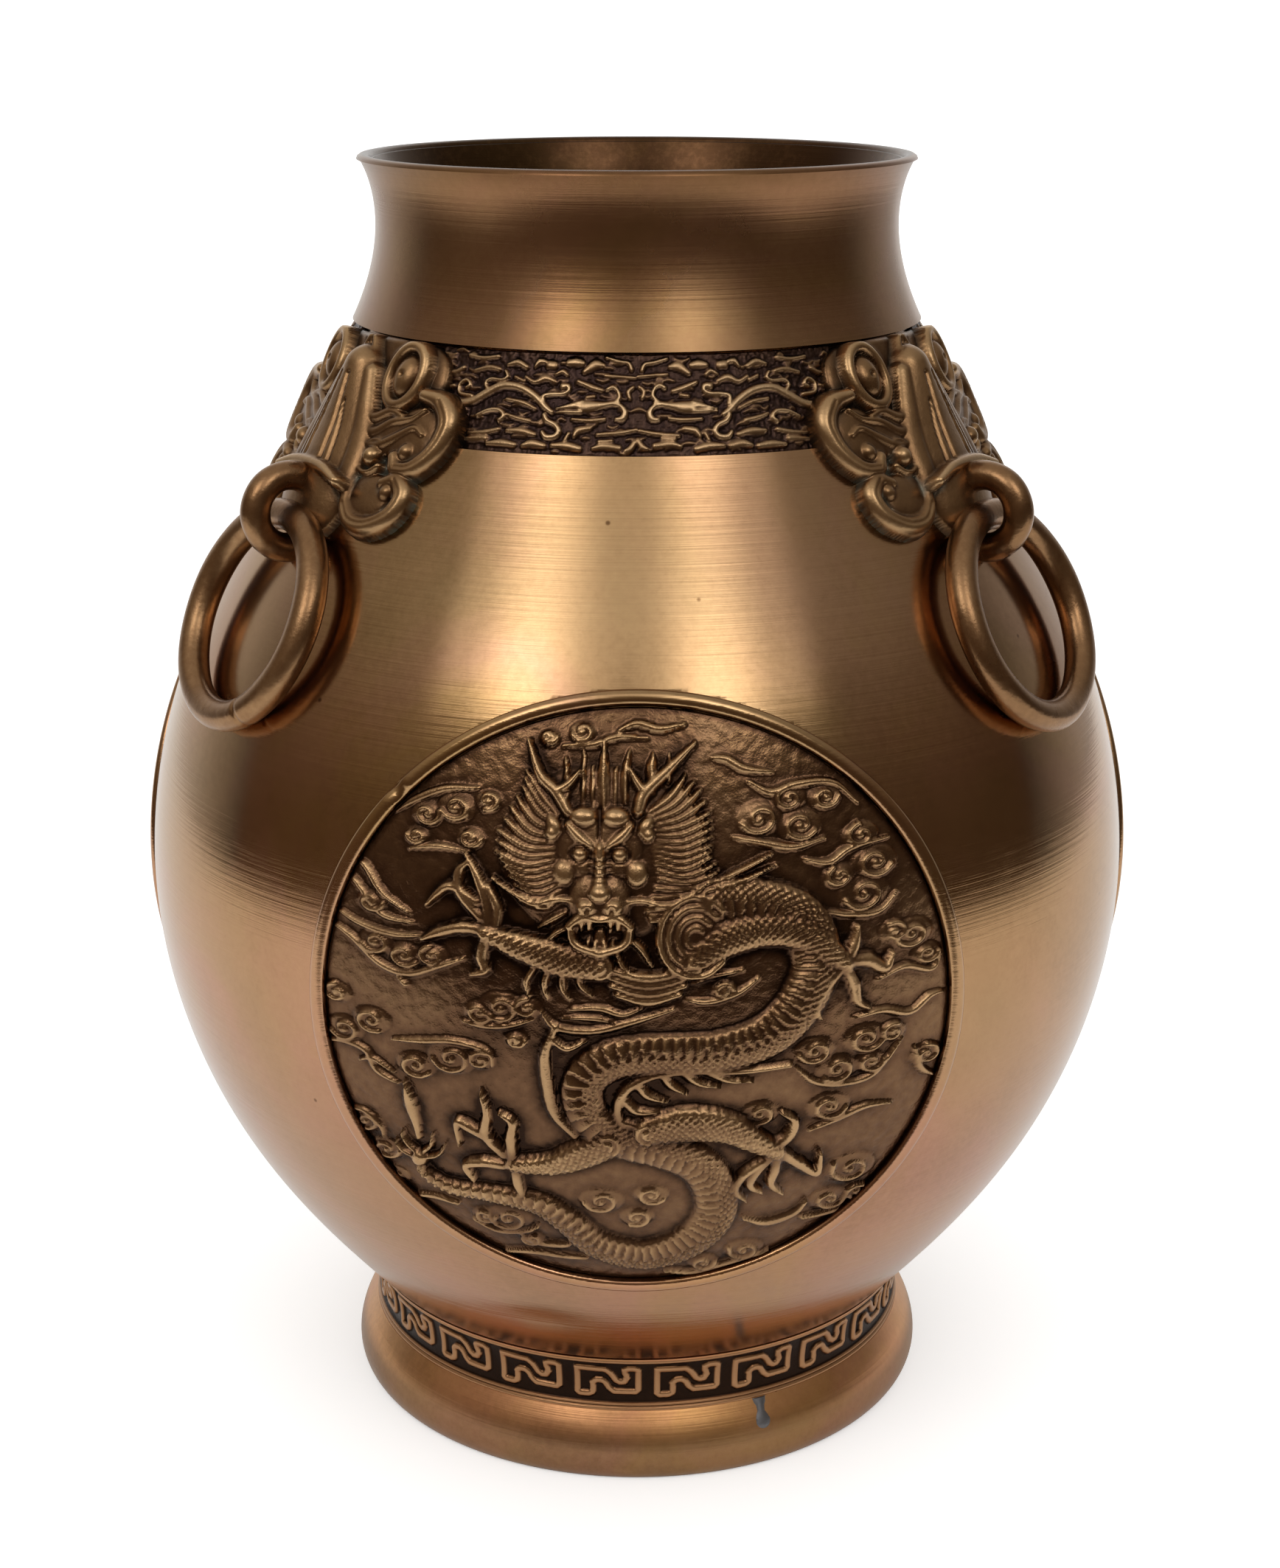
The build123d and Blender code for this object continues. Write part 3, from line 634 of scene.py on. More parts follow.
co = np.stack([co[:, 0] * reach, co[:, 1] * reach, co[:, 2] + rise * out[row, 1]], 1)
setCorners(fretBand.data, co * mm)
values(fretBand.data, "polishAndShade", np.where(onFace, tone[row, column], 0))
dress(fretBand, "vessel", "fret_bronze", fretFinish, "fret_band")
print("stage: fret band ready")

# Dragon roundel: control points in millimetres from the middle of the disc, as across, up and half width.
# Rises are height, lift and fullness. Lobes are place, reach, hand and start of a curl.
dragon = {
    "cells": 290, "ground": -0.7, "seat": -1.85, "backs": [0.8, 0.6, 0.4, 0.2, 0.05], "wave": 0.07,
    "rises": {
        "body": (2.5, 0.3, 0.45), "fins": (1.5, 0.7, 0.7), "chest": (1.6, 1.0, 0.5), "legs": (2.4, 1.2, 0.45),
        "toes": (1.8, 0.9, 0.6), "curl": (1.3, 2.1, 0.6), "hair": (1.5, 1.1, 0.7), "horns": (2.2, 1.5, 0.6),
    },
    "polishAndShade": {"base": 0.45, "up": 0.0014, "across": 0.0006, "keen": 0.58, "head": 0.16},
    "body": [
        (20, 38, 6), (32, 36.5, 6.6), (44, 31, 6.8), (49, 20, 6.6), (45, 8, 6.5), (36, -1, 6.3),
        (22, -5, 6), (6, -5, 5.8), (-7, -7, 5.8), (-14.5, -14, 5.8), (-13.5, -24, 5.8), (-5, -32, 5.8),
        (7, -36, 5.8), (17, -41.5, 6), (22, -51, 6.1), (21.5, -62, 6), (14, -71.5, 5.8), (2, -76, 5.5),
        (-11, -72, 5), (-19, -63.5, 4.4), (-28, -56.5, 3.7), (-41, -54.5, 2.7), (-53, -54, 2.1),
        (-60, -50, 1.6), (-61.5, -45, 1.2),
    ],
    "legs": [
        [(15, 22, 4), (24, 27.5, 5), (36, 29.5, 4.8), (47, 26, 4.2), (54, 20, 3), (57, 17.5, 2.2)],
        [(-10, 20.5, 4), (-20, 22, 4.8), (-29, 24.5, 4.2), (-36, 26.5, 3.2), (-41, 28, 2.2)],
        [(3, -29, 4.5), (13, -27, 5.6), (24, -28.5, 5), (32, -33.5, 3.8), (38.5, -38, 2.5)],
        [(-8, -33, 4.8), (-16, -37.5, 4.6), (-24, -41, 3.4), (-34.5, -42, 2.2)],
    ],
    "toes": [
        [(56, 17, 2), (59, 22, 1.7), (60, 27.5, 0.6)],
        [(57, 18, 2.2), (63, 17.5, 2.1), (68, 14.5, 1.6), (70, 18.5, 0.5)],
        [(57, 16, 1.8), (59.5, 11, 1.6), (60.5, 6, 1.3), (64, 3.5, 0.5)],
        [(55, 16, 1.8), (51, 11, 1.7), (48.5, 6, 1.4), (50, 2.5, 0.5)],
        [(52, 14.5, 1.6), (46.5, 10.5, 1.4), (44, 6, 1.2), (45, 2, 0.5)],
        [(-40, 28.5, 2.2), (-47, 28.8, 1.8), (-54, 26.5, 1.5), (-58.5, 24, 0.5)],
        [(-40, 29, 2.1), (-40.5, 36, 1.8), (-43, 43, 1.5), (-46, 48.5, 0.5)],
        [(-42, 32, 1.7), (-47.5, 38, 1.6), (-48, 43.5, 1.4), (-44.5, 47, 0.5)],
        [(-43, 36, 1.5), (-50, 39.5, 1.4), (-54, 37, 1.1), (-57, 33.5, 0.5)],
        [(-40.5, 27, 2), (-42, 21, 1.7), (-41, 17.5, 1.3), (-45, 16, 0.5)],
        [(-40, 40, 1.6), (-37.5, 35, 1.5), (-38, 29, 1.3)],
        [(38, -37, 2.1), (42.5, -33, 1.7), (43.5, -28.5, 1.4), (40, -25.5, 0.5)],
        [(40, -39, 2.1), (45.5, -44, 1.7), (50.5, -48, 1.4), (51.5, -41, 0.5)],
        [(39, -39, 1.9), (38.5, -45, 1.6), (37.5, -50, 1.3), (41, -54, 0.5)],
        [(37, -40, 1.8), (33.5, -44.5, 1.5), (31.5, -49.5, 1.4), (35, -52.5, 0.5)],
        [(35, -41.5, 1.6), (29.5, -46, 1.4), (27.5, -51, 1.2), (30.5, -55, 0.5)],
        [(-34.5, -41, 2), (-35, -34, 1.8), (-34.5, -28, 1.5), (-38, -25, 0.5)],
        [(-34, -43, 1.9), (-33.5, -49, 1.6), (-32.5, -53, 1.3), (-37, -53.5, 0.5)],
        [(-37, -39, 1.8), (-42, -33, 1.8), (-41.5, -26, 1.4), (-43, -19, 0.5)],
        [(-41, -34, 1.7), (-47, -31, 1.7), (-50, -30, 1.2), (-49.5, -38, 0.5)],
        [(-37, -43, 1.7), (-43, -43, 1.7), (-48, -45, 1.4), (-45.5, -50, 0.5)],
    ],
    "fins": [
        [(42, -10.5, 0.8), (28, -11, 1.1), (14, -10.2, 1.3), (4, -11.5, 1.5), (-3, -16, 1.6),
         (-5.3, -23, 1.6), (-2, -31, 1)], [(20, -10.8, 1.5), (25, -13.5, 1.1), (32, -14.5, 0.2)],
        [(13, -10.5, 1.6), (17, -14, 1.2), (23, -15.5, 0.2)],
        [(7, -10.8, 1.6), (9.5, -14.5, 1.3), (14, -17.5, 0.2)],
        [(0, -13.5, 1.6), (3, -17.5, 1.4), (8.5, -19.5, 0.3)],
        [(-3.5, -19, 1.6), (0, -22.5, 1.4), (6.5, -22.5, 0.3)],
        [(-4, -26, 1.5), (0, -27, 1.2), (5, -25.5, 0.3)],
        [(-22, 3, 1), (-25, -6, 1.6), (-24.5, -15, 2), (-22.5, -24, 1.9), (-17, -31, 1.4)],
        [(-23, -1, 1.2), (-19, -3.5, 1), (-14, -1, 0.4)],
        [(-61.3, -38, 0.6), (-62, -33, 1.3), (-63.5, -26.5, 2), (-64.7, -19.5, 0.2)],
        [(-62.5, -43, 0.8), (-65, -40.5, 0.6), (-66.5, -37, 0.2)],
        [(-63, -45, 0.8), (-66.5, -43.5, 0.6), (-68.5, -40.5, 0.2)],
        [(-60, -42.5, 0.8), (-58, -40, 0.6), (-57.5, -36, 0.2)],
        [(-59.5, -44.5, 0.8), (-56, -43, 0.6), (-54, -39.5, 0.2)],
        [(-28, 19, 1.1), (-30, 15, 0.9), (-29, 11, 0.3)],
        [(-24, 18.5, 1.2), (-25, 14.5, 1), (-24, 10.5, 0.3)],
        [(-20, 18, 1.2), (-20, 14, 1), (-18, 10.5, 0.3)], [(-16, 18.5, 1.2), (-15, 15, 1), (-12, 12, 0.3)],
    ],
    "hair": [
        [(-8.7, 62, 1.9), (-8.9, 70, 1.7), (-8.7, 79, 0.2)],
        [(-18.5, 64, 0.9), (-18.6, 70, 0.9), (-19, 75, 0.2)],
        [(-14.2, 63, 0.6), (-14.2, 70, 0.6), (-14, 76.5, 0.2)],
        [(-3.2, 64, 1), (-3, 71, 1.1), (-2, 77, 0.2)], [(4, 66, 0.8), (3.9, 71.5, 1.5), (4.4, 76.5, 0.2)],
        [(8.5, 69, 0.5), (8.6, 73, 0.6), (8.8, 76.5, 0.2)],
        [(-11.5, 62, 0.7), (-11.7, 67, 0.7), (-11.6, 73, 0.2)],
        [(-6, 62, 0.7), (-5.8, 67, 0.7), (-5.6, 73, 0.2)],
        [(-21, 60, 1.2), (-25, 64.5, 1.5), (-29.5, 71, 0.3)],
        [(-21, 57.5, 1.2), (-26.5, 61, 1.6), (-30.5, 67, 0.3)],
        [(-22, 54.5, 1.2), (-28.5, 56, 1.9), (-34, 62, 0.3)],
        [(-22, 51.5, 1.2), (-29.5, 51.5, 1.9), (-37.5, 55.5, 0.3)],
        [(-22, 48.5, 1.2), (-30, 47, 1.9), (-38, 50, 0.3)],
        [(-21.5, 45.5, 1.2), (-28.5, 43.5, 1.7), (-35.5, 46, 0.3)],
        [(-20.5, 42.5, 1.1), (-26, 40, 1.5), (-33, 41.5, 0.3)],
        [(-20, 39, 1), (-25, 36, 1.2), (-31.5, 37.5, 0.3)], [(3, 61, 1.1), (9, 65, 1.6), (13, 70.5, 0.3)],
        [(4, 59, 1.2), (11, 61.5, 1.9), (17.5, 67, 0.3)],
        [(4.5, 56.5, 1.1), (12, 57.5, 1.6), (20, 61, 0.3)],
        [(4.5, 54, 1.1), (12, 53.5, 1.5), (20.5, 57, 0.3)],
        [(4.5, 51.5, 1.1), (12, 50, 1.5), (20, 52.5, 0.3)],
        [(5, 48.5, 1.1), (12.5, 46.5, 1.6), (20, 49.5, 0.3)],
        [(6, 44, 1.1), (14, 43, 1.5), (22, 45.5, 0.3)], [(4, 39, 1), (12, 39.8, 1.2), (24, 42, 0.3)],
        [(3, 36, 1), (11, 36.8, 1.1), (23, 38.5, 0.3)], [(4, 33, 1), (13, 34, 1.1), (23, 35.5, 0.3)],
        [(17, 29.5, 0.9), (22, 31.5, 1), (26, 33, 0.3)], [(8, 19.5, 0.9), (14, 20.5, 1.1), (20, 24.5, 0.3)],
        [(-16.5, 26, 1), (-20, 22.5, 1), (-24, 21.5, 0.3)],
        [(-18.5, 31, 1), (-22, 29, 1.1), (-25, 26, 0.3)],
        [(-19, 35, 1), (-22.5, 33, 1.1), (-26.5, 30.5, 0.3)],
        [(-14, 24, 0.9), (-15, 20, 1), (-18.5, 17.5, 0.3)],
        [(-10, 23.5, 0.9), (-10, 20, 1), (-11.5, 17, 0.3)],
        [(-5.5, 24.5, 0.9), (-4, 21, 1), (-1.5, 18.5, 0.3)],
        [(-1.5, 28, 0.9), (1.5, 25, 1), (4, 20.5, 0.3)], [(24, 44, 0.8), (31, 47, 0.8), (37, 49.5, 0.2)],
        [(22, 41.5, 0.8), (30, 43.5, 0.8), (38, 46.5, 0.2)],
    ],
    "fans": [(8, 16), (16, 26)],
    "curl": (15.5, 28.5, [9.6, 7.2, 4.8, 2.4]),
    "horns": [
        [(-18.3, 61, 1.7), (-21.5, 66, 1.8), (-25.7, 70, 1.5), (-28.7, 78.5, 0.6)],
        [(-21.5, 66, 1.4), (-18, 68, 1.2), (-15, 71.3, 0.5)],
        [(0.3, 61.5, 1.7), (2, 66, 1.8), (8, 71.5, 1.5), (15.5, 78.3, 0.6)],
        [(2, 66, 1.4), (0, 68.7, 1.2), (-1.9, 72, 0.5)],
    ],
    "lobes": [
        (-49, 60, 4.2, 1, 200), (-57, 57.5, 3.6, -1, 20), (-40, 62.5, 3, 1, 250), (-60, 51.5, 2.6, 1, 180),
        (-45, 52.5, 3, -1, 0), (-37, 7, 5, 1, 200), (-43, 5, 3.6, -1, 0), (-30, 7.5, 3.4, 1, 90),
        (-33, -2.2, 2.6, -1, 0), (-82, -7, 4.4, 1, 200), (-74, -2.5, 4.4, -1, 300), (-84, 3.5, 3.4, 1, 100),
        (-51, -10, 5.6, 1, 190), (-61.5, -14, 4.6, -1, 330), (-43, -9.5, 3.4, 1, 60),
        (-77, -36.5, 4, 1, 180), (-71.5, -45, 4, -1, 0), (-70, -54.5, 3.8, 1, 120),
        (-36.5, -64, 5.4, 1, 190), (-43.5, -64, 3.2, -1, 0), (-10, -54.5, 5, 1, 190), (4, -52, 4, -1, 330),
        (0, -60.5, 4, 1, 240), (-14.5, 81, 3, 1, 200), (-23.5, 79.5, 2.2, -1, 0), (33, 58.5, 5, 1, 200),
        (44, 56, 4.8, -1, 330), (41, 63, 3.8, 1, 100), (51, 62.5, 3.6, -1, 0), (61, 51.5, 4, 1, 100),
        (65, 44, 5, -1, 340), (62, 36, 5.6, 1, 200), (55, 41.5, 3.6, 1, 120), (76, 22.5, 4.8, 1, 180),
        (80.5, 16, 3.4, -1, 0), (71, 24, 3.4, -1, 120), (49, -7.5, 4.6, 1, 190), (63.5, -6, 5, -1, 340),
        (55.5, -14, 4.8, 1, 220), (65, -13.5, 3.8, -1, 0), (71, -5.5, 3.4, 1, 60), (81.5, -15, 3.8, -1, 90),
        (34, -25.5, 4.4, 1, 190), (53.5, -26, 5, -1, 350), (61, -49.5, 6, 1, 150), (55, -60, 4.6, -1, 0),
        (63, -59.5, 3.6, 1, 60), (31, -76.5, 4.6, 1, 160), (19, -80.5, 3.6, -1, 0), (-72, 21, 4, 1, 200),
        (-64, 18.5, 4, -1, 330), (-56, 19.5, 3.6, 1, 100), (-73, 32, 3.4, -1, 0), (-30, -71.5, 2.8, 1, 180),
        (23.5, 13, 2.8, 1, 0), (12, 26.5, 5.2, 1, 230),
    ],
    "wisps": [
        [(-66, 57, 0.4), (-60, 61, 0.9), (-52, 64.5, 0.9), (-43, 65.5, 0.4)],
        [(-62, 48, 0.3), (-54, 49.5, 0.8), (-45, 49, 0.3)],
        [(-80, 43, 0.3), (-75, 41.5, 0.9), (-70, 35, 0.9), (-62, 30.5, 0.3)],
        [(-80, 39.5, 0.3), (-76, 35, 0.9), (-70, 29, 0.9), (-61, 28, 0.3)],
        [(-87, 25, 0.3), (-79, 21, 0.9), (-71, 15, 1), (-63, 13.5, 1), (-54, 17, 0.8), (-47, 20, 0.3)],
        [(-85, 29, 0.3), (-77, 25.5, 0.8), (-67, 24, 0.9), (-58, 25, 0.3)],
        [(-66, 12, 0.3), (-64, 10.5, 0.8), (-63.5, 10, 0.3)],
        [(-48, 2, 0.3), (-42, 1.2, 0.9), (-35, 2, 0.8), (-28, 4.5, 0.3)],
        [(-26, 7, 0.4), (-22, 2.5, 1), (-12, 1.8, 1), (-2, 4.5, 1), (10, 8.3, 0.4)],
        [(-18, 8, 0.3), (-10, 8.5, 0.9), (-4, 6.8, 0.8), (2, 9, 0.3)],
        [(-20, 5.3, 0.3), (-12, 5.6, 0.8), (-6, 4.6, 0.3)],
        [(-88, -12, 0.4), (-82, -11, 1), (-76, -12.5, 1), (-73, -18, 1), (-66.5, -21, 0.3)],
        [(-78, -16, 0.3), (-74, -14.5, 0.8), (-68, -17.5, 0.3)],
        [(-68, -7, 0.3), (-60, -6, 0.9), (-50, -4.6, 0.9), (-41, -6.5, 0.8), (-39.5, -11, 0.3)],
        [(-84, -34, 0.3), (-78, -33, 0.8), (-73, -37, 0.8), (-72, -41, 0.3)],
        [(-66, -61, 0.3), (-58, -59.8, 1), (-51, -61, 0.3)],
        [(-47, -66, 0.3), (-40, -69.5, 0.9), (-32, -68.5, 0.8), (-28, -66, 0.3)],
        [(-34, -68.5, 0.4), (-30, -72.5, 1), (-21, -73, 1), (-18, -71, 0.3)],
        [(-38, -78, 0.3), (-30, -77, 1), (-20, -77.8, 0.9), (-14, -78, 0.3)],
        [(-5, 81.5, 0.4), (0, 83.3, 0.9), (6, 82, 0.9), (13, 83, 0.3)],
        [(-20, 77.5, 0.3), (-12, 78, 0.8), (-5, 80, 0.8), (3, 79.5, 0.3)],
        [(20, 74.5, 0.4), (24, 74, 1), (29, 71.3, 1), (37, 70, 0.3)],
        [(30, 68, 0.4), (36, 65, 1), (43, 66.5, 1), (53, 66, 0.8), (60, 60, 0.3)],
        [(26, 54, 0.3), (33, 52.5, 0.9), (42, 50.5, 0.9), (51, 52, 0.3)],
        [(45, 47, 0.3), (52, 45.5, 0.9), (58, 48.5, 0.9), (69, 50, 0.3)],
        [(50, 33, 0.3), (57, 31, 0.9), (66, 30.5, 0.9), (71.5, 35, 0.3)],
        [(66, 11, 0.3), (74, 13.5, 0.9), (82, 11, 0.8), (84.5, 15, 0.3)],
        [(60, 1, 0.4), (68, 1.8, 1), (76, -0.5, 1), (82, 3.2, 0.9), (86, 3.5, 0.3)],
        [(44, -12, 0.3), (49, -17, 0.9), (57, -19, 1), (66, -17.5, 0.9), (74, -8, 0.3)],
        [(48, -33, 0.3), (56, -30.5, 1), (64, -28, 1), (72, -28.5, 0.3)],
        [(78, -12, 0.4), (80, -19, 1), (84.5, -23, 0.3)],
        [(30, -63, 0.3), (37, -65.8, 1.3), (45, -63.5, 1), (48.5, -59, 0.3)],
        [(47, -66, 0.3), (54, -65.5, 0.9), (63, -64, 0.8), (66, -61, 0.3)],
        [(8, -83.5, 0.3), (16, -84.5, 0.8), (26, -81.5, 0.9), (38, -78, 0.3)],
        [(13, 11, 0.3), (19, 10, 0.8), (27, 12, 0.8), (33, 16, 0.3)],
        [(15, 15.5, 0.3), (21, 17.5, 0.8), (29, 18.5, 0.3)],
    ],
}
cells, rises = dragon["cells"], dragon["rises"]
mesh, gx, gy, back = gridSheet(cells, cells, len(dragon["backs"]) + 1)
radius = form["roundelRadius"]
x = gx * np.sqrt(1 - gy**2 / 2) * radius
y = gy * np.sqrt(1 - gx**2 / 2) * radius
art = Relief(x, y, 0.0)
art.h += dragon["wave"] * np.sin(x * 0.9 + 1.3 * np.sin(y * 0.7)) * np.sin(y * 0.8 + 1.7 * np.sin(x * 0.5))
for cx, cy, reach, hand, start in dragon["lobes"]:
    art.mound(cx, cy, reach * 1.3, reach * 0.9, 0.8, fullness=0.35)
    art.ridge(spiral(cx, cy, reach, hand, start, 0.76), 1.15, 0.45)
    art.mound(cx, cy, 0.95, 0.95, 1.75)
for wisp in dragon["wisps"]:
    art.ridge(widened(wisp, 1.2), 1.45)
skin, bands = scales(2.1, 1.0), plates(2.9, 1.15)


def bodySkin(run, side, width):
    return np.where(side < 0.05, bands(run, side, width), skin(run, side, width))


art.ridge(widened(dragon["body"], 1.05), *rises["body"], bodySkin)
for fin in dragon["fins"]:
    art.ridge(fin, *rises["fins"])
for k in range(4):
    left, right = (-10 + 1.5 * k, 20.5 - 2.6 * k, 0.8), (16 - 1.5 * k, 20 - 2.4 * k, 0.8)
    art.ridge([left, (3, 17.5 - 2.2 * k, 1.5), right], *rises["chest"])
for leg in dragon["legs"]:
    art.ridge(leg, *rises["legs"], skin)
for toe in dragon["toes"]:
    art.ridge(toe, *rises["toes"])
    art.mound(*toe[1][:2], toe[1][2] * 1.25, toe[1][2] * 1.25, 2.6)
art.mound(-10, 50, 27, 23, 1.9, 0, 0.4)
cx, cy, reaches = dragon["curl"]
art.mound(cx, cy, 10.5, 11.5, 1.9, 0.9, 0.35)
for reach in reaches:
    art.ridge(arc(cx, cy, reach, 1.12 * reach, 0.95, np.arange(40, 321, 28)), *rises["curl"])
# Between neighbours in the two fans of the mane lies one more lock
locks = list(dragon["hair"])
for first, last in dragon["fans"]:
    for one, two in zip(locks[first:last], locks[first + 1 : last]):
        locks.append([tuple((p + q) / 2 for p, q in zip(a, b)) for a, b in zip(one, two)])
for lock in locks:
    art.ridge(lock, *rises["hair"], lambda run, side, width: 0.35 * np.cos(side * 7))
for horn in dragon["horns"]:
    art.ridge(horn, *rises["horns"])

# Head, looking out: skull, cheeks, brows, eyes, nose, jaws and teeth
art.mound(-10, 53, 12, 10.5, 2.6, 1.0, 0.4)
art.mound(-10, 38, 8.5, 8.5, 3.2, 1.0, 0.4)
art.mound(-10, 29.5, 8.6, 6.6, 2.4, 0.8, 0.4)
nose = -9.8
for side in (-1, 1):
    art.mound(nose + side * 4.3, 59.8, 3.7, 2.6, 2.4, 2.6)
    art.ridge(flipped([(8.2, 57.8, 1), (5.6, 55, 1.5), (2.4, 52.6, 1)], side, nose), 2.0, 2.9, 0.6)
    art.pit(nose + side * 5.2, 50.4, 3.4, 2.7, 1.3)
    art.mound(nose + side * 5.2, 50.4, 2.2, 2.0, 2.4, 2.5)
    art.mound(nose + side * 9.6, 45.5, 3.2, 3.6, 2.0, 1.6)
    art.mound(nose + side * 12, 57.5, 1.9, 3.0, 2.2, 2.0, lean=side * -35)
    art.mound(nose + side * 12.6, 55.5, 2.0, 2.0, 2.4, 2.0)
    art.mound(nose + side * 3.5, 36.8, 2.7, 2.2, 2.2, 3.6)
    art.pit(nose + side * 3.2, 36.2, 0.9, 0.8, 1.4)
    art.ridge(flipped([(0.5, 33.5, 1.2), (4.5, 34.2, 1.4), (8.4, 31.5, 0.9)], side, nose), 1.8, 3.0, 0.6)
    art.ridge(flipped([(8, 31.5, 0.9), (6.6, 27, 1.3), (0, 24.6, 1.6)], side, nose), 1.8, 2.6, 0.6)
    whisker = [(5, 37.5, 0.8), (11, 38.5, 0.8), (18, 37, 0.7), (25, 40.5, 0.6), (29, 43, 0.3)]
    art.ridge(flipped(whisker, side, nose), 1.3, 2.0, 0.6)
art.pit(nose, 29.4, 6.2, 3.6, 2.8)
art.ridge([(nose, 29.8, 1.6), (nose, 27, 1.9)], 1.2, 1.4)
for tooth in (-14.6, -12.6, -7, -5):
    art.ridge([(tooth, 32.4, 0.8), (tooth, 30.4, 0.3)], 1.6, 2.6)
for tooth in (-13, -11, -8.6, -6.6):
    art.ridge([(tooth, 26.2, 0.7), (tooth, 28, 0.3)], 1.4, 2.2)
art.ridge([(nose, 52, 1.3), (nose, 46, 1.5), (nose, 41, 2.3)], 2.0, 3.2, 0.6)
art.mound(nose, 40.4, 2.9, 2.5, 2.6, 3.8)
for crease in (48.6, 46.6, 44.6):
    art.groove([(-12.6, crease + 0.7, 0.6), (nose, crease, 0.7), (-7, crease + 0.7, 0.6)], 1.0)
art.groove([(nose, 62, 0.8), (nose, 54.5, 0.6)], 1.2)
art.mound(-61.4, -45.3, 2.5, 2.7, 2.2, 1.0)  # knob at the tail's end

rim = np.hypot(x, y) / radius
height = dragon["ground"] + art.h * np.clip((1 - rim) / 0.012, 0, 1)
keen = sharpness(gx, gy, art.h, cells, cells, 4)
# Tone: brighter on sharp crests and darker in hollows, as rubbed wear and patina with painted highlight and
# painted shade; lighter towards the top and the right and darker at the bottom as painted light and shade; a
# little brighter on the head; darker at the rim joint
rubAndLight = dragon["polishAndShade"]
head = np.exp(-(((x + 10) / 13) ** 2) - ((y - 44) / 17) ** 2)
polishAndShade = rubAndLight["base"] + rubAndLight["up"] * y + rubAndLight["across"] * x + rubAndLight["keen"] * keen + rubAndLight["head"] * head
polishAndShade = np.clip(polishAndShade, 0, 1) * np.clip((1 - rim) / 0.02, 0.2, 1)
shrink = np.array([1, 1] + dragon["backs"])[back.astype(int)]
height = np.where(back > 0, dragon["seat"], height)
polishAndShade = np.where(back > 0, 0, polishAndShade)
for name, turn in form["roundelTurns"].items():
    copy = mesh.copy()
    setCorners(copy, onBody(x * shrink, form["roundelHeight"] + y * shrink, height, turn) * mm)
    values(copy, "polishAndShade", polishAndShade)
    outward(copy, sealed=True)
    roundel = linked("roundel_" + name + "_relief", copy, 180)
    dress(roundel, "vessel", "relief_bronze", reliefFinish, "roundel_" + name)

# Round bead about each roundel, with the nick at the upper left of the front one
bead = {"inside": 87.75, "width": 4.0, "height": 2.0, "fullness": 0.8, "root": -0.8, "steps": 300,
        "nick": (136.0, 1.0, 1.2), "polishAndShade": 0.55}
half = bead["width"] / 2
middle = bead["inside"] + half
section = [(middle + half * math.cos(a), bead["height"] * math.sin(a) ** bead["fullness"])
           for a in (math.pi * k / 12 for k in range(13))]
section += [(middle - half, bead["root"]), (middle + half, bead["root"])]
for name, turn in form["roundelTurns"].items():
    ring = turned("roundel_bead_" + name + "_round", section, bead["steps"], 50)
    co = corners(ring.data) / mm
    rise = co[:, 2].copy()
    if name == "front":
        place, wide, deep = bead["nick"]
        angle = np.degrees(np.arctan2(co[:, 1], co[:, 0]))
        rise -= np.where(rise > 0, deep, 0) * np.exp(-(((angle - place) / wide) ** 2))
    setCorners(ring.data, onBody(co[:, 0], form["roundelHeight"] + co[:, 1], rise, turn) * mm)
    outward(ring.data)
    ring.data.shade_smooth()
    ring.data.set_sharp_from_angle(angle=math.radians(60))
    # The bead's foot along the body and its sunk root stay dark, a painted shade along the join
    values(ring.data, "polishAndShade", np.where(co[:, 2] > 0.25, bead["polishAndShade"], 0.0))
    dress(ring, "vessel", "bead_bronze", bodyFinish, "roundel_bead_" + name)
print("stage: roundels ready")

